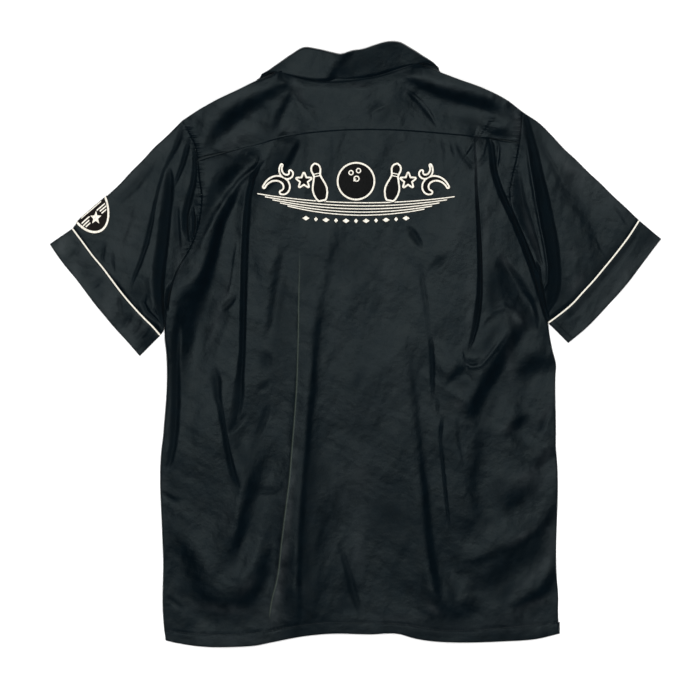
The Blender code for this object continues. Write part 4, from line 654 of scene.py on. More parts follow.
def satin(name, look):
    finish = Finish(name)
    place = finish.node("ShaderNodeTexCoord", "Object")
    mottle = finish.noise(place, look["mottleScale"], 6.0)
    fine = finish.node("ShaderNodeMapping", 0, None, Vector=place, Scale=look["threadScale"])
    threads = finish.noise(fine, 1.0, 2.0)
    crumple = finish.noise(place, look["crumpleScale"], 3.0)
    plain = finish.colours(mottle, (0.3, scaled(look["colour"], 0.85)), (0.7, scaled(look["colour"], 1.25)))
    # painted sheen: paler colour mixed in at the sheen spots, broken up by the mottle
    nap = (finish.attribute("nap") * (mottle * 1.6 - 0.3)).clamp()
    withPaintedSheen = finish.mixing(nap, plain, look["napColour"])
    # painted highlight: pale colour along the sharp crease, standing in for the light it catches
    paintedHighlight = finish.attribute("paintedHighlight").clamp()
    deep = finish.attribute("deep").clamp()
    rough = mottle * look["mottle"] + (look["roughness"] - look["mottle"] / 2) + deep * look["dullRoughness"]
    leaning = finish.bump(finish.attribute("lean"), 1.0, 0.001)
    soft = finish.bump(crumple, look["crumple"], 0.0012, Normal=leaning)
    finish.surface(Base_Color=finish.mixing(paintedHighlight, withPaintedSheen, look["paintedHighlightColour"]), Roughness=rough,
                   Normal=finish.bump(threads, look["weave"], 0.0002, Normal=soft),
                   Specular_IOR_Level=look["specular"], Specular_Tint=(*look["tint"], 1),
                   Sheen_Weight=look["sheen"], Sheen_Roughness=0.4)
    return finish.material


def thread(name, colour, roughness=0.55, pitch=900.0):
    finish = Finish(name)
    place = finish.node("ShaderNodeTexCoord", "Object")
    noise = finish.noise(place, pitch, 2.0)
    finish.surface(Base_Color=finish.colours(noise, (0.3, scaled(colour, 0.72)), (0.65, colour)),
                   Roughness=roughness, Normal=finish.bump(noise, 0.4, 0.0003),
                   Specular_IOR_Level=0.3, Sheen_Weight=0.2)
    return finish.material


satinBlack = satin("satinBlack", satinLook)
satinThread = thread("satinThread", (0.012, 0.015, 0.016), roughness=0.4, pitch=2200.0)
ivoryCord = thread("ivoryCord", (0.80, 0.76, 0.66))


# A mesh piece in the scene; attributes are numbers at its points
def addMesh(name, points, faces, material, attributes):
    mesh = bpy.data.meshes.new(name)
    mesh.from_pydata(points.tolist(), [], faces.tolist())
    for key, values in attributes.items():
        made = mesh.attributes.new(key, "FLOAT", "POINT")
        made.data.foreach_set("value", values.astype(np.float32))
    mesh.materials.append(material)
    mesh.polygons.foreach_set("use_smooth", [True] * len(mesh.polygons))
    return link(bpy.data.objects.new(name, mesh))


def link(made):
    bpy.context.scene.collection.objects.link(made)
    return made


# A piece of cloth over a grid of points; rows run up the plan, so its faces look up
def grid(name, points, material, keep=None, attributes=None, flip=False):
    rows, columns = points.shape[:2]
    index = np.arange(rows * columns).reshape(rows, columns)
    corners = [index[:-1, :-1], index[:-1, 1:], index[1:, 1:], index[1:, :-1]]
    if flip:
        corners.reverse()
    faces = np.stack(corners, -1)
    faces = faces[keep] if keep is not None else faces.reshape(-1, 4)
    used, order = np.unique(faces, return_inverse=True)
    shown = {key: values.reshape(-1)[used] for key, values in (attributes or {}).items()}
    return addMesh(name, points.reshape(-1, 3)[used], order.reshape(-1, 4), material, shown)


# Faces of a grid that have a corner where inside is true
def touching(inside):
    return inside[:-1, :-1] | inside[1:, :-1] | inside[:-1, 1:] | inside[1:, 1:]


stitch = {"Pitch": 0.0026, "Long": 0.0019, "Thick": 0.00042, "Sway": 0.10, "Seed": 5}


# A row of stitches along a plan line with heights: a node tree puts one small bead of thread at each place
def stitchRow(name, line, material):
    tree = bpy.data.node_groups.new(name, "GeometryNodeTree")
    tree.interface.new_socket("Geometry", in_out="INPUT", socket_type="NodeSocketGeometry")
    sockets = {}
    for key in stitch:
        kind = "NodeSocketInt" if key == "Seed" else "NodeSocketFloat"
        sockets[key] = tree.interface.new_socket(key, in_out="INPUT", socket_type=kind)
    tree.interface.new_socket("Geometry", in_out="OUTPUT", socket_type="NodeSocketGeometry")
    given = tree.nodes.new("NodeGroupInput")
    result = tree.nodes.new("NodeGroupOutput")

    def node(kind, settings=None, **links):
        made = tree.nodes.new(kind)
        for key, value in (settings or {}).items():
            setattr(made, key, value)
        for key, value in links.items():
            socket = made.inputs[key.replace("_", " ")]
            if isinstance(value, bpy.types.NodeSocket):
                tree.links.new(value, socket)
            else:
                socket.default_value = value
        return made

    curve = node("GeometryNodeMeshToCurve", Mesh=given.outputs["Geometry"])
    places = node("GeometryNodeResampleCurve", {"mode": "LENGTH"}, Curve=curve.outputs[0],
                  Length=given.outputs["Pitch"])
    spread = node("ShaderNodeMath", {"operation": "MULTIPLY"})
    tree.links.new(given.outputs["Sway"], spread.inputs[0])
    spread.inputs[1].default_value = -1.0
    low = node("ShaderNodeCombineXYZ", X=spread.outputs[0], Y=spread.outputs[0], Z=0.0)
    high = node("ShaderNodeCombineXYZ", X=given.outputs["Sway"], Y=given.outputs["Sway"], Z=0.0)
    chance = node("FunctionNodeRandomValue", {"data_type": "FLOAT_VECTOR"}, Seed=given.outputs["Seed"])
    tree.links.new(low.outputs[0], chance.inputs[0])
    tree.links.new(high.outputs[0], chance.inputs[1])
    ahead = node("ShaderNodeVectorMath", {"operation": "ADD"})
    tree.links.new(node("GeometryNodeInputTangent").outputs[0], ahead.inputs[0])
    tree.links.new(chance.outputs[0], ahead.inputs[1])
    turn = node("FunctionNodeAlignEulerToVector", {"axis": "X"}, Vector=ahead.outputs[0])
    thick = given.outputs["Thick"]
    size = node("ShaderNodeCombineXYZ", X=given.outputs["Long"], Y=thick, Z=thick)
    bead = node("GeometryNodeMeshIcoSphere", Radius=0.5, Subdivisions=1)
    beads = node("GeometryNodeInstanceOnPoints", Points=places.outputs[0], Instance=bead.outputs[0],
                 Rotation=turn.outputs[0], Scale=size.outputs[0])
    real = node("GeometryNodeRealizeInstances", Geometry=beads.outputs[0])
    painted = node("GeometryNodeSetMaterial", Geometry=real.outputs[0], Material=material)
    tree.links.new(painted.outputs[0], result.inputs[0])

    points = toMetres(*np.array(line, float).T)
    mesh = bpy.data.meshes.new(name)
    mesh.from_pydata(points.tolist(), [(k, k + 1) for k in range(len(points) - 1)], [])
    guide = link(bpy.data.objects.new(name + "Guide", mesh))
    modifier = guide.modifiers.new("stitches", "NODES")
    modifier.node_group = tree
    for key, value in stitch.items():
        modifier[sockets[key].identifier] = value
    evaluated = guide.evaluated_get(bpy.context.evaluated_depsgraph_get())
    made = link(bpy.data.objects.new(name, bpy.data.meshes.new_from_object(evaluated)))
    bpy.data.objects.remove(guide)
    return made


# Positions 0..1 packed closer at both ends; more where sharp is above 0
def packed(count, sharpStart, sharpEnd):
    t = np.linspace(0, 1, count + 1)
    start = mix(t, t**1.9, sharpStart)
    end = 1 - mix(1 - t, (1 - t) ** 1.9, sharpEnd)
    return mix(start, end, ease(t))


backCloth = {
    "columns": [(62, 1, .7), (40, .5, .9), (150, .9, .7), (62, .6, 1)],   # and how they crowd at both ends
    "rows": 280, "sideEdge": 2.0, "sideLow": 0.7, "hemEdge": 1.3, "lowest": 0.75,
    "hemDip": 0.60, "hemPuckers": 0.16, "puckerPitch": 3.7, "hemDull": 0.8,
    "crease": 0.55, "creasePaintedSheen": 0.42, "hemInside": (15.0, 8.0, 2.0, 0.4),
}
backLines = (sideLeft, pleatLines["left"], sharpCrease, pleatLines["right"], sideRight)
seamDip = {"armhole": (1.0, 0.7), "yoke": (0.40, 0.5)}        # depth and reach in mm of the dip along a seam


def dip(kind, away):
    depth, reach = seamDip[kind]
    return depth * bell(away, reach)


# Plan points of the back: columns follow the sides, both pleats and the crease, rows run from hem to yoke
def backPlan(columns, v):
    columns = columns[None, :] * np.ones((len(v), 1))
    v = v[:, None] * np.ones_like(columns)
    i = np.clip(columns.astype(int), 0, 3)
    x = mix(165.0, 558.0, columns / 4)
    for _ in range(8):
        y = mix(hemLine(x), yokeSeam(np.clip(x, 196, 519)), v)
        lines = np.stack([line(y) for line in backLines], -1)
        a = np.take_along_axis(lines, i[..., None], -1)[..., 0]
        b = np.take_along_axis(lines, (i + 1)[..., None], -1)[..., 0]
        x = mix(a, b, columns - i)
    return x, y


def makeBack():
    parts = [k + packed(*span)[:-1] for k, span in enumerate(backCloth["columns"])]
    columns = np.concatenate([*parts, [float(len(parts))]])
    v = np.concatenate([[0, .0006, .0016, .003, .005, .0075], np.linspace(.01, .985, backCloth["rows"]),
                        [.988, .991, .9935, .9955, .997, .998, .999, 1]])
    x, y = backPlan(columns, v)
    z = upperHeight(x, y)
    edge = np.minimum(x - sideLeft(y), sideRight(y) - x) * squareSize
    sideFall = mix(backCloth["sideLow"], z, roundedEdge(edge, backCloth["sideEdge"]))
    z = mix(z - dip("armhole", edge), sideFall, ease((y - 322) / 12))
    hemAway = (hemLine(x) - y) * squareSize
    hemHigh = 6.7 + 0.7 * np.sin(x / 17.0) + 0.4 * np.sin(x / 7.3 + 1)
    z = mix(z, np.minimum(z, hemHigh), ease(1 - hemAway / 30) * 0.75)
    seamAway = awayFrom(x, y, hemSeam)
    z = z - backCloth["hemDip"] * bell(seamAway, 0.8) + 0.12 * np.exp(-((hemAway - 7) / 6) ** 4)
    puckers = np.sin(6.28 * x / backCloth["puckerPitch"] + 1.3 * np.sin(x / 9)) * bell(seamAway, 3.0)
    z = z + backCloth["hemPuckers"] * puckers
    z = mix(z - 0.8, z, roundedEdge(hemAway, backCloth["hemEdge"]))
    z = z - dip("yoke", (y - yokeSeam(x)) * squareSize)
    creaseAway = (x - sharpCrease(y)) * squareSize
    strength = ease((y - 240) / 70) * ease((620 - y) / 10)
    z = z + backCloth["crease"] * strength * np.exp(-np.abs(creaseAway) / 1.3)
    z = np.maximum(z, backCloth["lowest"])
    points = toMetres(x, y, z)
    shading = worked(x, y)
    # painted highlight: a pale line of colour along the sharp crease, where it catches the light
    shading["paintedHighlight"] = strength * bell(creaseAway, 0.8)
    # painted sheen: a paler strip of colour beside that crease
    shading["nap"] = shading["nap"] + (strength * backCloth["creasePaintedSheen"] * ease((y - 380) / 90)
                                       * bell(creaseAway - 4.5, 4.5))
    shading["deep"] = shading["deep"] + backCloth["hemDull"] * bell(seamAway, 0.9)
    # the hem turned up inside
    inside = []
    for away in backCloth["hemInside"]:
        row = points[0].copy()
        row[:, 1] += away * millimetre
        row[:, 2] = np.maximum(row[:, 2] - 0.5 * millimetre, 0.3 * millimetre)
        inside.append(row)
    attributes = {}
    for key, values in shading.items():
        first = values[:1] if key == "lean" else 0 * values[:1]
        attributes[key] = np.concatenate([first.repeat(len(inside), 0), values])
    made = grid("backPanel", np.concatenate([inside, points]), satinBlack, attributes=attributes)
    row = []
    for px, py in Path(hemSeam)(np.linspace(0.004, 0.996, 160)):
        column = int(np.argmin(np.abs(x[12] - px)))
        level = float(np.interp(-py, -y[:, column], z[:, column]))
        row.append((px, py, level + 0.15))
    return made, stitchRow("hemStitches", row, satinThread)


back, hemStitches = makeBack()
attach(back, "root")
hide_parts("back")
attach(hemStitches, "root")
print("back", len(back.data.polygons), len(hemStitches.data.polygons))


# Where little light comes under the collar's edge: x, y, reach and strength
collarEdge = [
    (257, 77.8, 1.2, .9), (262, 75.6, 2.2, 1.2), (268, 73.8, 2.3, 1.2), (274, 73.2, 1.3, 1),
    (282, 74.4, .9, .7), (290, 76.4, .8, .7), (300, 79, .9, .8), (310, 81.2, .9, .9), (320, 82.4, 1, 1),
    (335, 82.6, 1.1, 1), (350, 81.6, 1.1, 1), (364, 79.6, 1, 1), (379, 76.9, 1, 1), (391, 73.3, 1, 1),
    (401, 69.9, .9, .9), (410, 67, 1, .9), (419, 65, 1.4, 1), (425, 64.2, 2.6, 1.2), (431, 64.6, 2.6, 1.2),
    (436, 66.4, 1.8, 1),
]

# Hollows under the collar's two ends, with their depth in mm
collarHollows = [
    [(256.5, 80.5, 1.2, 0), (260, 78.4, 1.9, 2.2), (265, 76.2, 2.3, 3.0), (270, 74.6, 2.0, 2.6),
     (277, 74, 1.2, 0)],
    [(410, 67.4, 1, 0), (416, 66.4, 1.2, 1.6), (422, 65.6, 1.8, 2.6), (428, 65.4, 2.2, 3.0),
     (433, 66, 1.8, 2.4), (436.5, 68.4, 1.2, 0)],
]

yokeCloth = {
    "ends": (197.0, 518.0), "neck": (285.5, 414.7),   # x where the seam and the neck begin and end
    "columns": 261, "rows": 84, "top": 5.8, "lowest": 2.4, "topEdge": 1.1,
    "turnedDown": (0.0, 0.3, 1.0, 2.2, 8.0, 15.0, 23.0),
}


def shadedBy(x, y, lines):
    total = np.zeros(x.shape)
    for line in lines:
        away, reach, strength = nearest(x, y, line)
        total = total + strength * bell(away, reach)
    return total


def makeYoke():
    u = np.linspace(0, 1, yokeCloth["columns"])
    left, right = yokeCloth["ends"]
    first, second = [(at - left) / (right - left) for at in yokeCloth["neck"]]
    seamX = mix(left, right, u)
    beyond = np.where(u[:, None] < second, neckSeam(np.clip((u - first) / (second - first), 0, 1)),
                      shoulderRight(np.clip((u - second) / (1 - second), 0, 1)))
    tops = np.where(u[:, None] < first, shoulderLeft(np.clip(u / first, 0, 1)), beyond)
    seam = np.stack([seamX, yokeSeam(seamX)], -1)
    middle = np.linspace(.03, .96, yokeCloth["rows"])
    v = np.concatenate([[0, .004, .01, .018], middle, [.972, .982, .99, .995, .998, 1]])[:, None]
    plan = seam[None] + (tops - seam)[None] * v[..., None]
    x, y = plan[..., 0], plan[..., 1]
    across = u[None] * np.ones_like(x)
    x = np.where(across < 0.5, x + (sideLeft(y) - x) * (1 - ease(across / 0.12)) * (1 - v ** 4),
                 x + (sideRight(y) - x) * (1 - ease((1 - across) / 0.12)) * (1 - v ** 4))
    z = upperHeight(x, y)
    isNeck = ease((x - 262) / 28) * ease((438 - x) / 28)
    z = mix(z, np.minimum(z, yokeCloth["top"] + 12 * (1 - isNeck)), ease((v - 0.75) / 0.25))
    z = z - dip("yoke", (yokeSeam(x) - y) * squareSize)
    edge = np.minimum(x - sideLeft(y), sideRight(y) - x) * squareSize
    z = z - dip("armhole", edge) * (1 - v ** 6)
    topAway = np.hypot(x - tops[None, :, 0], y - tops[None, :, 1]) * squareSize
    hollow = shadedBy(x, y, collarHollows)
    low = yokeCloth["lowest"]
    z = np.maximum(mix(low, z, roundedEdge(topAway, yokeCloth["topEdge"])) - hollow, low)
    points = toMetres(x, y, z)
    # over the shoulder and down the front
    turned = []
    for reach in yokeCloth["turnedDown"]:
        row = points[-1].copy()
        row[:, 1] -= reach * millimetre
        row[:, 2] = (low - 1.6 * roundedEdge(np.array(reach), 1.6)) * millimetre
        turned.append(row)
    isShoulder = (u < first) | (u > second)
    keep = np.ones((len(v) + len(turned) - 1, len(u) - 1), bool)
    keep[len(v) - 1:, :] = (isShoulder[:-1] & isShoulder[1:])[None]
    # painted sheen from the paler spots, as on the back
    shading = {"lean": drapery(x, y), "nap": spots(x, y, paintedSheenSpots),
               "deep": shadedBy(x, y, [collarEdge]) + dullAt(x, y) + hollow / 2}
    attributes = {key: np.concatenate([values, values[-1:].repeat(len(turned), 0)])
                  for key, values in shading.items()}
    return grid("yokePanel", np.concatenate([points, turned]), satinBlack, keep=keep, attributes=attributes)


yoke = makeYoke()
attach(yoke, "root")
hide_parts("yoke")
print("yoke", len(yoke.data.polygons))


def armholePath(name):
    side = sideLeft if name == "left" else sideRight
    top, bottom = sleeveEdges[name]["armhole"]
    y = np.linspace(top, bottom, 24)
    return Path(list(zip(side(y), y)))


# Four-sided patch between a near and a far line, and the two lines that join their ends
def patch(near, far, start, end, g, p):
    g, p = np.meshgrid(g, p, indexing="ij")
    a, b = near(p), far(p)
    c, d = start(g), end(g)
    g, p = g[..., None], p[..., None]
    corners = (near(np.array(0.0)), near(np.array(1.0)), far(np.array(0.0)), far(np.array(1.0)))
    nearLine = corners[0] * (1 - g) * (1 - p) + corners[1] * (1 - g) * p
    flat = nearLine + corners[2] * g * (1 - p) + corners[3] * g * p
    return a * (1 - g) + b * g + c * (1 - p) + d * p - flat


tube = {
    "around": np.concatenate([[0, .001, .003, .006, .011, .018], np.linspace(.027, .97, 128),
                              [.98, .988, .994, .998, 1]]),
    "below": [0, 1, 2, 3, 5, 8, 12, 18, 26, 36, 48, 138],   # which of these the lower layer has
    "middle": 1.7, "bottom": 0.6, "edge": 1.2, "underEdge": 1.4,
}


# A tube laid flat: upper layer from its far edge to the fold, then the lower layer back
def flatTube(lines, g, height, working):
    plan = patch(*lines, g, tube["around"])
    x, y = plan[..., 0], plan[..., 1]
    foldAway = np.hypot(x - x[:, :1], y - y[:, :1]) * squareSize
    underAway = np.hypot(x - x[:, -1:], y - y[:, -1:]) * squareSize
    foldRound = roundedEdge(foldAway, tube["edge"])
    upper = mix(tube["middle"], height(x, y), foldRound * roundedEdge(underAway, tube["underEdge"]))
    lower = mix(tube["middle"], tube["bottom"], foldRound * roundedEdge(underAway, tube["edge"]))
    few = tube["below"]
    top = toMetres(x, y, upper)
    bottom = toMetres(x[:, few], y[:, few], lower[:, few])
    below = np.zeros((len(g), len(few) - 1))
    attributes = {key: np.concatenate([values[:, ::-1], below], 1) for key, values in working(x, y).items()}
    return np.concatenate([top[:, ::-1], bottom[:, 1:]], 1), attributes


sleeveCloth = {"rows": 120, "mouth": 5.0, "mouthDip": (1.0, 1.8)}


def makeSleeve(name):
    edges = sleeveEdges[name]

    def height(x, y):
        away = (sideLeft(y) - x if name == "left" else x - sideRight(y)) * squareSize
        z = upperHeight(x, y) - dip("armhole", away)
        mouth = awayFrom(x, y, edges["piping"])
        depth, reach = sleeveCloth["mouthDip"]
        return mix(sleeveCloth["mouth"], z, ease((mouth + 1.0) / 8)) - depth * bell(mouth, reach)

    rows = np.concatenate([[0, .004, .01, .018, .028], np.linspace(.04, .965, sleeveCloth["rows"]),
                           [.975, .985, .992, 1]])
    lines = (armholePath(name), Path(edges["piping"]), Path(edges["fold"]), Path(edges["under"]))
    points, attributes = flatTube(lines, rows, height, worked)
    sleeve = grid(name + "Sleeve", points, satinBlack, attributes=attributes, flip=name == "right")
    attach(sleeve, "root")
    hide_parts("sleeve_" + name)
    return sleeve


cuffCloth = {
    "high": 4.8, "seamIn": 8.6, "seamDip": (0.3, 0.5), "pipingDip": (1.0, 1.6), "rim": (0.7, 1.2),   # mm
    "dull": (0.8, 0.9), "nap": {"left": 0.30, "right": 0.16}, "sheenBlotches": 2.1,
}


def makeCuff(name):
    piping, rim = sleeveEdges[name]["piping"], sleeveEdges[name]["cuff"]
    end = [piping[-1], rim[-1]]

    def height(x, y):
        mouth = awayFrom(x, y, piping)
        z = cuffCloth["high"] + folds(x, y)[0] + 0.9 * unevenness(x, y) - 0.3 * ease(mouth / 30)
        depth, reach = cuffCloth["pipingDip"]
        z = z - depth * bell(mouth, reach)
        depth, reach = cuffCloth["seamDip"]
        z = z - depth * bell(awayFrom(x, y, end) - cuffCloth["seamIn"], reach)
        fall, reach = cuffCloth["rim"]
        return mix(z - fall, z, roundedEdge(awayFrom(x, y, rim), reach))

    def working(x, y):
        made = worked(x, y)
        # painted sheen: paler blotches of colour, stronger on the left cuff, which faces the light
        spread = cuffCloth["sheenBlotches"]
        sheenBlotches = np.clip(0.5 + 0.9 * unevenness(x * spread, y * spread), 0, 1)
        made["nap"] = made["nap"] + cuffCloth["nap"][name] * sheenBlotches
        dull, reach = cuffCloth["dull"]
        made["deep"] = made["deep"] + dull * bell(awayFrom(x, y, end) - cuffCloth["seamIn"] + 0.8, reach)
        return made

    rows = np.concatenate([[0, .02, .05, .09], np.linspace(.14, .93, 18), [.96, .98, .992, 1]])
    lines = (Path(piping), Path(rim), Path([piping[0], rim[0]]), Path(end))
    points, attributes = flatTube(lines, rows, height, working)
    cuff = grid(name + "Cuff", points, satinBlack, attributes=attributes, flip=name == "right")
    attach(cuff, "root")
    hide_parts("cuff_" + name)

    start, stop = np.array(end, float)
    along = stop - start
    inward = np.array([along[1], -along[0]]) / np.hypot(*along)
    inward = inward if (inward[0] < 0) == (name == "left") else -inward
    plan = mix(start, stop, np.linspace(0.07, 0.93, 20)[:, None])
    x, y = (plan + inward * (cuffCloth["seamIn"] / squareSize)).T
    seam = stitchRow(name + "CuffStitches", np.stack([x, y, height(x, y) + 0.12], -1), satinThread)
    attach(seam, "root")
    return cuff, seam


cord = {
    "radius": 1.08, "rise": (0.6696, 0.7), "high": 4.6, "low": 0.9, "ends": 1.9,   # mm
    "sides": 10, "rings": 260,
}


# A round cord along a plan line, over the sleeve's end and back under it
def makePiping(name):
    path = Path(sleeveEdges[name]["piping"])
    t = np.linspace(0, 1, cord["rings"])
    plan = path(t)
    ahead = np.gradient(plan, axis=0)
    ahead = ahead / np.hypot(*ahead.T)[:, None]
    x, y = plan.T
    ends = roundedEdge(np.minimum(t, 1 - t) * path.length * squareSize, 2.0)
    upper = mix(cord["ends"], cord["high"] + 0.3 * unevenness(x, y), ends)
    lower = np.full_like(x, cord["low"])
    angle = 2 * math.pi * np.arange(cord["sides"]) / cord["sides"]
    out = np.cos(angle) * cord["radius"] / squareSize
    rings = []
    for heights, order, rise in zip((upper, lower), (1, -1), cord["rise"]):
        ring = toMetres(x[:, None] - ahead[:, 1:] * out, y[:, None] + ahead[:, :1] * out,
                        heights[:, None] + np.sin(angle) * rise)
        rings.append(ring[::order])
    points = np.concatenate(rings)
    points = np.concatenate([points, points[:, :1]], 1)
    points = np.concatenate([points, points[:1]], 0)
    piping = grid(name + "Piping", points, ivoryCord, flip=name == "left")
    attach(piping, "root")
    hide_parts("piping_" + name)
    return piping


for name in ("left", "right"):
    makeSleeve(name)
    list(makeCuff(name))
    makePiping(name)
    print(name, "sleeve, cuff and piping")


# Each row runs round the collar's section: neck seam, top of the stand, roll, top of the fall and its edge.
# A row's entries are x, y on the mat and height in mm
collarUnder = {
    "left": [
        [(310.6, 101.9, 1.2), (311.2, 101.9, 1.1), (312.2, 102.2, .8), (311.2, 102.6, .45),
         (240.5, 139, .4)],
        [(304.3, 93.8, 1.2), (304.6, 93.4, 1.1), (305.4, 93.4, .8), (304.6, 94.6, .45), (243, 120, .4)],
        [(297.7, 85.2, 1.2), (296.6, 84, 1.1), (297, 83, .8), (296.4, 86, .45), (248, 101, .4)],
        [(290, 77, 1.2), (285, 75, 1.1), (281, 73.6, .8), (281, 76, .45), (252, 90, .4)],
        [(286, 70.4, 2.0), (276, 68, 2.0), (264, 73.6, 1.4), (262.6, 76, 1.0), (256.2, 81.6, 1.0)],
    ],
    "right": [
        [(389.6, 97.3, 1.2), (389.0, 97.3, 1.1), (388.0, 97.6, .8), (389.0, 98, .45), (459.7, 134.4, .4)],
        [(395.9, 89.2, 1.2), (395.6, 88.8, 1.1), (394.8, 88.8, .8), (395.6, 90, .45), (457.2, 115.4, .4)],
        [(402.5, 80.6, 1.2), (403.6, 79.4, 1.1), (403.2, 78.4, .8), (403.8, 81.4, .45), (452.2, 96.4, .4)],
        [(410.2, 72.4, 1.2), (415.2, 68, 1.1), (420, 66, .8), (420, 69, .45), (448, 84, .4)],
        [(414.2, 64, 2.0), (424, 60, 2.0), (436.4, 66.4, 1.4), (437.6, 69, 1.0), (440.6, 73.4, 1.0)],
    ],
}
collarOver = [
    [(287, 70, 3.0), (277, 66, 3.2), (262, 74.0, 2.6), (262.8, 74.6, 4.4), (262.8, 77.4, 3.4)],
    [(290, 71.4, 3.4), (282, 64, 3.6), (268, 70.6, 3.6), (268.6, 71.4, 6.2), (268.4, 73.4, 6.0)],
    [(295, 73, 3.6), (288, 60, 3.8), (278, 63.6, 4.0), (278.6, 64.6, 7.0), (279, 73.6, 7.6)],
    [(302, 74, 3.6), (298, 54, 3.8), (292, 54.0, 4.2), (292.6, 55.2, 7.2), (295, 78.0, 8.0)],
    [(310, 75, 3.6), (306, 50, 3.8), (304, 47.4, 4.2), (304.4, 48.8, 7.4), (308, 80.6, 8.4)],
    [(320, 76.4, 3.6), (319, 52, 3.8), (318, 49.0, 4.4), (318, 50.4, 9.0), (317, 81.6, 8.6)],
    [(332, 77.4, 3.6), (332, 55, 3.8), (332, 52.4, 5.4), (332, 53.8, 11.4), (327, 82.0, 8.6)],
    [(341, 77.8, 3.6), (341, 57, 4.0), (341, 54.2, 6.8), (341, 55.6, 13.0), (336, 81.8, 6.4)],
    [(351, 78, 3.6), (352, 54, 4.0), (352, 50.8, 7.4), (352, 52.2, 14.2), (349, 80.9, 6.6)],
    [(362, 77.4, 3.6), (364, 52, 4.0), (364, 48.8, 7.6), (364, 50.2, 14.8), (364, 78.8, 6.8)],
    [(373, 76, 3.6), (377, 47, 4.0), (377, 44.4, 7.6), (377, 45.8, 15.0), (379, 76.2, 6.8)],
    [(384, 73, 3.6), (388, 44, 4.0), (388.6, 41.6, 7.2), (388.6, 43, 14.4), (391, 72.6, 6.8)],
    [(394, 70, 3.6), (399, 44, 3.8), (400, 42.4, 6.2), (399.6, 43.8, 12.6), (401, 69.2, 6.8)],
    [(402, 67, 3.6), (410, 49, 3.8), (411.5, 48.6, 5.0), (411, 50, 10.4), (410, 66.4, 6.8)],
    [(408, 65, 3.6), (419, 55, 3.6), (423, 55.8, 4.0), (422.4, 57, 8.4), (419, 64.4, 6.4)],
    [(412, 63.8, 3.4), (425, 59, 3.4), (433, 62.4, 3.4), (432.4, 63.2, 6.2), (428.6, 63.6, 6.4)],
    [(414, 63.2, 3.0), (427, 60, 3.0), (437.6, 67.2, 2.6), (437, 67.4, 4.4), (435.6, 67.4, 4.6)],
]
collarCloth = {
    "rows": 10, "columns": [8, 3, 3, 26],   # to each row of the tables, and between its entries
    "rim": [.0, .25, .9, 2.2], "tuck": 1.5, "uneven": 0.4, "dent": 0.7, "lean": 1.5,
}


# Catmull-Rom through the first axis, with so many steps to each span
def smoothRows(rows, steps):
    rows = np.asarray(rows, float)
    padded = np.concatenate([2 * rows[:1] - rows[1:2], rows, 2 * rows[-1:] - rows[-2:-1]])
    made = []
    for k in range(len(rows) - 1):
        a, b, c, d = padded[k:k + 4]
        for t in np.linspace(0, 1, steps, endpoint=False):
            made.append(0.5 * (2 * b + (c - a) * t + (2 * a - 5 * b + 4 * c - d) * t**2
                               + (3 * b - a - 3 * c + d) * t**3))
    made.append(rows[-1])
    return np.array(made)


def makeCollar():
    rows = smoothRows(collarUnder["left"] + collarOver + collarUnder["right"][::-1], collarCloth["rows"])
    lines = []
    for k, count in enumerate(collarCloth["columns"]):
        lines += [mix(rows[:, k], rows[:, k + 1], s) for s in np.linspace(0, 1, count, endpoint=False)]
    lines = np.array([*lines, rows[:, -1]]).transpose(1, 0, 2)
    x, y, z = lines[..., 0], lines[..., 1], lines[..., 2]
    over = ease((z - 4.0) / 1.5)
    dent = bell(x - 353 + (y - 65) * 0.4, 3.0) * bell(y - 71, 8.0)
    edge = x - 345 + (y - 58) * 0.7
    fold = collarCloth["dent"] * dent - collarCloth["lean"] * np.tanh(edge / 5.0) * bell(edge, 26.0)
    fold = (fold + collarCloth["uneven"] * unevenness(x * 1.3, y * 1.3)) * over
    rim = np.concatenate([np.zeros(lines.shape[1] - 4), collarCloth["rim"]])
    z = z + fold - rim * ease((z - 3) / 2)
    tuckX, tuckY = x[:, -1:], y[:, -1:]
    tuckZ = np.maximum(z[:, -1:] - collarCloth["tuck"], 0.3)
    points = np.concatenate([toMetres(x, y, z), toMetres(tuckX, tuckY, tuckZ),
                             toMetres(tuckX, tuckY - 1.2, tuckZ)], 1)
    dull = np.maximum(shadedBy(x, y + 0.8, [collarEdge]), dullAt(x, y))
    dull = np.concatenate([dull, dull[:, -1:], dull[:, -1:]], 1)
    return grid("collarPanel", points, satinBlack, attributes={"deep": dull}, flip=True)


collar = makeCollar()
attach(collar, "root")
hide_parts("collar")
print("collar", len(collar.data.polygons))


# The fronts and lapels, under the back: the left is listed, the right is its mirror image
front = {
    "placket": 13.5, "breakLine": 177.8, "neck": {"left": (285.5, 69.4), "right": (414.7, 62.5)},
    "seamDrop": 18.5, "buttonReach": (5.5, 22.0), "buttonRise": 2.0, "mirror": (700.2, 4.6),
}
lapelOutline = [(369, 177.8), (257, 151.7), (269.3, 122.5), (240.1, 139.4), (254.7, 84), (285.5, 73.2)]
lapelInner = [(352, 165), (331, 134), (311.5, 103)]
lapelOuter = [(327, 161), (257, 151.7), (271, 123.5)]


def mirrored(x, y):
    across, up = front["mirror"]
    return across - x, y - up


# Depth of plan points inside an outline: above 0 inside
def insideOutline(x, y, outline):
    away = np.full(x.shape, 1e9)
    inside = np.zeros(x.shape, bool)
    for (ax, ay), (bx, by) in zip(outline, outline[1:] + outline[:1]):
        dx, dy = bx - ax, by - ay
        t = np.clip(((x - ax) * dx + (y - ay) * dy) / max(dx * dx + dy * dy, 1e-9), 0, 1)
        away = np.minimum(away, np.hypot(x - ax - t * dx, y - ay - t * dy))
        crosses = (ay > y) != (by > y)
        at = ax + (y - ay) * dx / dy if dy else np.full(x.shape, 1e9)
        inside ^= crosses & (x < at)
    return np.where(inside, away, -away)


def innerEdge(name, y):
    sign = -1 if name == "left" else 1
    edge = body["placketLine"] - sign * front["placket"]
    neckX, neckY = front["neck"][name]
    up = np.clip((front["breakLine"] - y) / (front["breakLine"] - neckY), 0, 1)
    return edge + (neckX - edge) * up


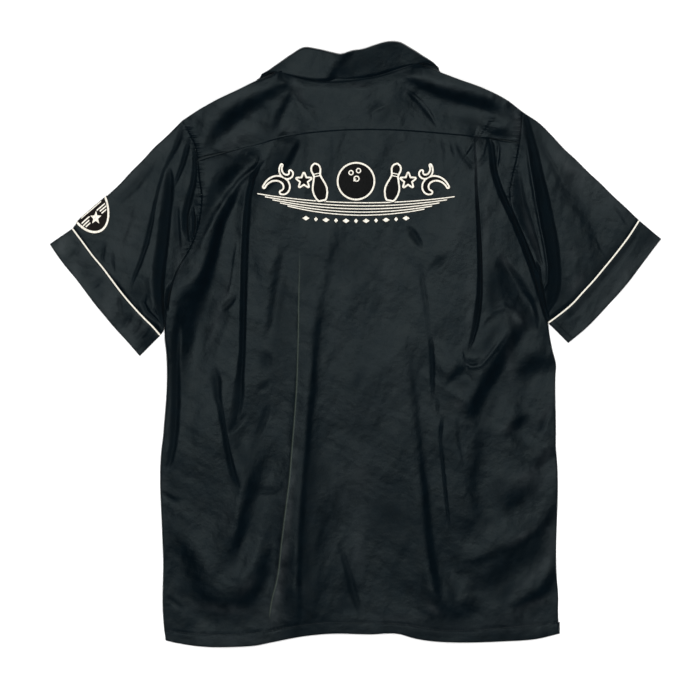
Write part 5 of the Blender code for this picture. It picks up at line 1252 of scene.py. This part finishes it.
def makeFront(name):
    sign = -1 if name == "left" else 1
    side = sideLeft if name == "left" else sideRight
    shoulder = shoulderLeft if name == "left" else shoulderRight
    u = np.concatenate([np.linspace(0, .16, 22), np.linspace(.18, 1, 50)])
    v = np.concatenate([[0, .003, .006], np.linspace(.012, 1, 150)])
    u, v = np.meshgrid(u, v)
    top = shoulder(1 - u if name == "left" else u)[..., 1] + front["seamDrop"]
    x = body["placketLine"] + sign * u * 190
    for _ in range(8):
        y = mix(hemLine(x) - 1.6, top, v)
        x = mix(innerEdge(name, y), side(y), u)
    z = 0.55 + 0.35 * np.abs(unevenness(x * 0.8, y * 0.8))
    outline = lapelOutline if name == "left" else [mirrored(*corner) for corner in lapelOutline]
    z = z + 0.75 * ease((insideOutline(x, y, outline) + 8) / 10)
    if name == "right":
        z = z + 1.0 * (1 - ease((np.abs(x - body["placketLine"]) - 21) / 18)) * ease((y - 165) / 20)
    inner, outer = front["buttonReach"]
    for height in body["buttonPlaces"]:
        near = np.hypot(x - body["placketLine"], y - height)
        z = z + front["buttonRise"] * (1 - ease((near - inner) / (outer - inner)))
    placketAway = (x - innerEdge(name, y)) * sign * squareSize
    z = z + 0.35 * (1 - ease((placketAway - 31) / 3)) - 0.25 * bell(placketAway - 5, 0.8)
    made = grid(name + "Front", toMetres(x, y, z), satinBlack, flip=name == "right")
    made.data.flip_normals()
    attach(made, "root")
    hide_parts("front_" + name)
    return made


# The lapel turned back to the outside, flat on the surface under its front
def makeLapel(name):
    inner, outer = np.array(lapelInner), np.array(lapelOuter)
    plan = np.array([smoothRows(mix(inner, outer, part), 16) for part in np.linspace(0, 1, 40)])
    x, y = plan[..., 0], plan[..., 1]
    if name == "right":
        x, y = mirrored(x, y)
    points = toMetres(x, y, 0.3 + 0.15 * np.abs(unevenness(x, y)))
    made = grid(name + "Lapel", points, satinBlack, flip=name == "right")
    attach(made, "root")
    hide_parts("facing_" + name)
    return made


for name in ("left", "right"):
    makeFront(name)
    makeLapel(name)
    print(name, "front and lapel")


# Stitched pictures are shapes on a fine grid, kept where thread lies. A shape is the signed distance in mat
# squares to its edge, below 0 inside it
def strokeShape(x, y, line):
    away, reach, _ = nearest(x, y, [(*row, 0) for row in line])
    return np.abs(away) - reach


def outlineShape(x, y, outline):
    return -insideOutline(x, y, outline)


def turned(points, centre, angle, size=1.0):
    c, s = math.cos(angle) * size, math.sin(angle) * size
    return [(centre[0] + px * c - py * s, centre[1] + px * s + py * c) for px, py in points]


# A skittle standing on its foot at the origin, one square high
skittleSide = [(0.00, .085), (.06, .125), (.18, .165), (.30, .175), (.42, .150), (.54, .105), (.64, .072),
               (.70, .068), (.76, .082), (.84, .105), (.91, .098), (.96, .070), (1.0, .0)]
skittle = [(r, -h) for h, r in skittleSide] + [(-r, -h) for h, r in skittleSide[::-1]]


def star(points=5, inner=0.42):
    made = []
    for k in range(points * 2):
        angle = -math.pi / 2 + math.pi * k / points
        size = 1.0 if k % 2 == 0 else inner
        made.append((math.cos(angle) * size, math.sin(angle) * size))
    return made


# A scroll: a spiral that opens into a tapering tail, as x, y and half width
def scroll(centre, angle, size, hand):
    spine = []
    widths = []
    for t in np.linspace(0, 1, 34):
        turn = 4.3 * (1 - t)
        reach = 0.16 + 0.84 * t**1.5
        spine.append((reach * math.cos(turn), hand * reach * math.sin(turn)))
        widths.append(size * (0.115 * math.sin(math.pi * min(t * 0.9 + 0.12, 1.0)) + 0.02))
    return [(px, py, wide) for (px, py), wide in zip(turned(spine, centre, angle, size), widths)]


motif = {
    "border": 1.7, "step": 0.42,
    "ball": (356.0, 181.5, 17.5), "glint": 2.1,
    "holes": [(351.0, 173.0, 2.1), (358.5, 171.0, 2.1), (356.5, 179.0, 2.5)],
    "skittles": [(322.0, 200.0, 36.0, -0.20), (390.0, 200.0, 36.0, 0.20)], "bands": (0.665, 0.735),
    "stars": [(304.0, 181.0, 7.2), (408.0, 181.0, 7.2)],
    "scrolls": [((281.0, 190.0), 3.3, 17.0, 1), ((431.0, 190.0), -0.16, 17.0, -1),
                ((289.0, 172.5), 3.9, 10.0, -1), ((423.0, 172.5), -0.76, 10.0, 1)],
    "fan": {"lines": 5, "centre": (356.0, 203.0), "reach": 98.0, "shorter": 7.5, "apart": 3.1,
            "bow": 7.5, "tilt": 1.5, "wide": 0.5},
    "diamonds": {"count": 11, "first": (306.0, 221.2), "apart": 10.0, "long": (3.6, 2.0), "high": 2.3},
}


def motifShapes(x, y):
    parts = []
    for px, py, size, lean in motif["skittles"]:
        parts.append(outlineShape(x, y, turned(skittle, (px, py), lean, size)))
    cx, cy, r = motif["ball"]
    parts.append(np.hypot(x - cx, y - cy) - r)
    for px, py, size in motif["stars"]:
        parts.append(outlineShape(x, y, turned(star(), (px, py), 0.0, size)))
    for settings in motif["scrolls"]:
        parts.append(strokeShape(x, y, scroll(*settings)))
    black = np.min(parts, 0)
    ivory = np.abs(black - motif["border"] / 2) - motif["border"] / 2
    for px, py, hole in motif["holes"]:
        ivory = np.minimum(ivory, np.abs(np.hypot(x - px, y - py) - hole) - 0.55)
    for px, py, size, lean in motif["skittles"]:
        for part in motif["bands"]:
            ends = turned([(-0.075, -part), (0.075, -part)], (px, py), lean, size)
            ivory = np.minimum(ivory, strokeShape(x, y, [(*end, 0.45) for end in ends]))
    reach = motif["glint"]
    glint = [(cx - reach * math.cos(a), cy - reach * math.sin(a), 0.6) for a in np.linspace(0.2, 1.3, 8)]
    ivory = np.minimum(ivory, strokeShape(x, y, glint))
    fan = motif["fan"]
    for k in range(fan["lines"]):
        reach = fan["reach"] - k * fan["shorter"]
        low = fan["centre"][1] + k * fan["apart"]
        line = []
        for t in np.linspace(-1, 1, 30):
            rise = fan["bow"] * t * t - fan["tilt"] * t
            line.append((fan["centre"][0] + reach * t, low - rise, fan["wide"]))
        drawn = strokeShape(x, y, line)
        ivory = np.where(black < motif["border"] + 0.7, ivory, np.minimum(ivory, drawn))
    diamonds = motif["diamonds"]
    for k in range(diamonds["count"]):
        px = diamonds["first"][0] + k * diamonds["apart"]
        py = diamonds["first"][1] - 0.0011 * (px - fan["centre"][0]) ** 2
        drawn = np.abs(x - px) / diamonds["long"][k % 2] + np.abs(y - py) / diamonds["high"] - 1
        ivory = np.minimum(ivory, drawn * 1.9)
    return black, ivory


threadLook = {"pale": ((0.50, 0.47, 0.40), (0.82, 0.78, 0.69)), "strands": (1400, 260, 260), "slant": 0.6}


# Embroidery thread: ivory where the attribute is above 0, else the ground's colour
def threadFinish(name, ground):
    finish = Finish(name)
    place = finish.node("ShaderNodeTexCoord", "Object")
    slanted = finish.node("ShaderNodeMapping", 0, None, Vector=place, Rotation=(0, 0, threadLook["slant"]),
                          Scale=threadLook["strands"])
    strands = finish.noise(slanted, 1.0, 1.0)
    mask = (finish.attribute("ivory") * 6.0 + 0.5).clamp()
    pale = finish.colours(strands, (0.3, threadLook["pale"][0]), (0.6, threadLook["pale"][1]))
    dark = finish.colours(strands, (0.3, scaled(ground, 0.6)), (0.7, scaled(ground, 1.4)))
    finish.surface(Base_Color=finish.mixing(mask, dark, pale), Roughness=0.5, Specular_IOR_Level=0.15,
                   Normal=finish.bump(strands, 0.5, 0.0004))
    return finish.material


motifThread = threadFinish("motifThread", (0.0015, 0.0017, 0.0017))
badgeThread = threadFinish("badgeThread", (0.0034, 0.0024, 0.0019))


def makeMotif():
    step = motif["step"]
    x, y = np.meshgrid(np.arange(254, 459, step), np.arange(226, 152, -step))
    black, ivory = motifShapes(x, y)
    shown = np.minimum(black, ivory)
    raised = 0.45 * (1 - np.exp(-np.maximum(-ivory, 0) * 2.6))
    ground = 0.25 * (1 - np.exp(-np.maximum(-shown, 0) * squareSize))
    z = upperHeight(x, y) + 0.35 + raised + ground
    return grid("backMotif", toMetres(x, y, z), motifThread, keep=touching(shown < 0.30),
                attributes={"ivory": -ivory * squareSize})


backMotif = makeMotif()
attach(backMotif, "root")
print("motif", len(backMotif.data.polygons))


badge = {
    "along": 27.0, "round": 43.0, "past": -10.0, "at": 0.825, "lean": 0.18, "edge": 2.7, "step": 0.6,   # mm
    "turn": 2.0, "middle": 2.3, "bottom": 0.35, "star": ((0.0, 14.5), 8.5),
    "bars": [(8.0, 13.0, 7.0), (11.5, 14.5, 5.5), (15.0, 13.5, 4.0), (-14.0, 0.0, 16.0), (-18.0, 0.0, 13.0),
             (-22.0, 0.0, 10.0), (2.5, 0.0, 17.0)],   # place round the sleeve, place along it, half length
}


# The badge goes over the sleeve's folded edge: a runs along the sleeve and b round it, in mm
def makeBadge():
    fold = Path(sleeveEdges["left"]["fold"])
    t = badge["at"]
    ahead = fold(np.array(t + 0.1)) - fold(np.array(t - 0.1))
    ahead = ahead / np.hypot(*ahead)
    inward = np.array([-ahead[1], ahead[0]])
    if inward[0] < 0:
        inward = -inward
    step = badge["step"]
    b, a = np.meshgrid(np.arange(-53.5, 33.7, step), np.arange(-28.2, 28.21, step), indexing="ij")
    r = badge["turn"]
    angle = np.clip(b / r, -math.pi / 2, math.pi / 2)
    out = r * (1 - np.cos(angle)) + np.maximum(np.abs(b) - math.pi * r / 2, 0) - 0.9
    near = fold(np.clip(t + a / (fold.length * squareSize), 0, 1))
    slide = badge["lean"] * np.maximum(b, 0)
    plan = near + inward * (out / squareSize)[..., None] + ahead * (slide / squareSize)[..., None]
    x, y = plan[..., 0], plan[..., 1]
    sleeveTop = np.maximum(upperHeight(x, y), 3.0) + 0.5
    middle = badge["middle"]
    up = middle + (sleeveTop - middle) * np.sin(np.maximum(angle, 0))
    down = middle + (middle - badge["bottom"]) * np.sin(np.minimum(angle, 0))
    pa, pb = a / badge["along"], (b - badge["past"]) / badge["round"]
    ring = np.hypot(pa, pb)
    oval = (ring - 1) * ring / np.maximum(np.hypot(pa / badge["along"], pb / badge["round"]), 1e-3)
    border = -(np.abs(oval + badge["edge"] / 2) - badge["edge"] / 2)
    # a star between bars, read across the sleeve
    place, size = badge["star"]
    drawn = [border, -outlineShape(a, b, turned(star(), place, math.pi, size))]
    for far, aside, half in badge["bars"]:
        drawn.append(np.minimum(0.8 - np.abs(b - far), half - np.abs(np.abs(a) - aside)))
    raised = 0.55 * (1 - np.exp(-np.maximum(border, 0) * 2))
    z = np.where(b > 0, up + raised, down)
    return grid("sleeveBadge", toMetres(x, y, z), badgeThread, keep=touching(oval < 0.3),
                attributes={"ivory": np.max(drawn, 0)})


sleeveBadge = makeBadge()
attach(sleeveBadge, "root")
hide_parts("badge_left")
print("badge", len(sleeveBadge.data.polygons))
studio = {
    "air": ((0.93, 0.97, 1.0), 0.035), "table": (0.9, 0.9, 0.9), "tableReach": 8.0, "eye": 4.0,
    "lamps": {
        "key box": ((-0.24, 0.66, 3.0), (2.2, 1.6), 16.9, (-0.02, 0.04, 0.0)),
        "soft box": ((-0.25, 0.50, 3.02), (3.6, 3.1), 15.5, (-0.04, 0.04, 0.0)),
        "fill": ((0.0, 0.0, 3.2), (3.2, 3.2), 165.0, (0.0, 0.0, 0.0)),
    },
}


def makeTable():
    finish = Finish("floor")
    finish.surface(Base_Color=(*studio["table"], 1), Roughness=0.9)
    mesh = bpy.data.meshes.new("floor")
    far = studio["tableReach"]
    corners = [(-far, -far, -1e-4), (far, -far, -1e-4), (far, far, -1e-4), (-far, far, -1e-4)]
    mesh.from_pydata(corners, [], [(0, 1, 2, 3)])
    mesh.materials.append(finish.material)
    floor = link(bpy.data.objects.new("floor", mesh))


def makeLamp(name, spot, size, power, aim):
    data = bpy.data.lights.new(name, "AREA")
    data.shape = "RECTANGLE"
    data.size, data.size_y = size
    data.energy = power
    made = bpy.data.objects.new(name, data)
    made.location = spot
    made.rotation_mode = "QUATERNION"
    made.rotation_quaternion = (Vector(aim) - Vector(spot)).to_track_quat("-Z", "Y")
    made.visible_camera = False
    made.visible_glossy = name != "fill"
    link(made)


def makeStage():
    makeTable()
    world = bpy.data.worlds.new("studio")
    bpy.context.scene.world = world
    world.use_nodes = True
    colour, strength = studio["air"]
    world.node_tree.nodes["Background"].inputs[0].default_value = (*colour, 1)
    world.node_tree.nodes["Background"].inputs[1].default_value = strength
    for name, settings in studio["lamps"].items():
        makeLamp(name, *settings)
    data = bpy.data.cameras.new("camera")
    data.sensor_width = 36.0
    data.lens = 36.0 * studio["eye"] / (700 * square)
    data.clip_start, data.clip_end = 0.1, 50.0
    camera = link(bpy.data.objects.new("camera", data))
    camera.location = ((350 - matCentre[0]) * square, (matCentre[1] - 350) * square, studio["eye"])
    bpy.context.scene.camera = camera
    bpy.context.scene.view_settings.view_transform = "Standard"
    bpy.context.scene.view_settings.look = "None"
    print("stage")


makeStage()
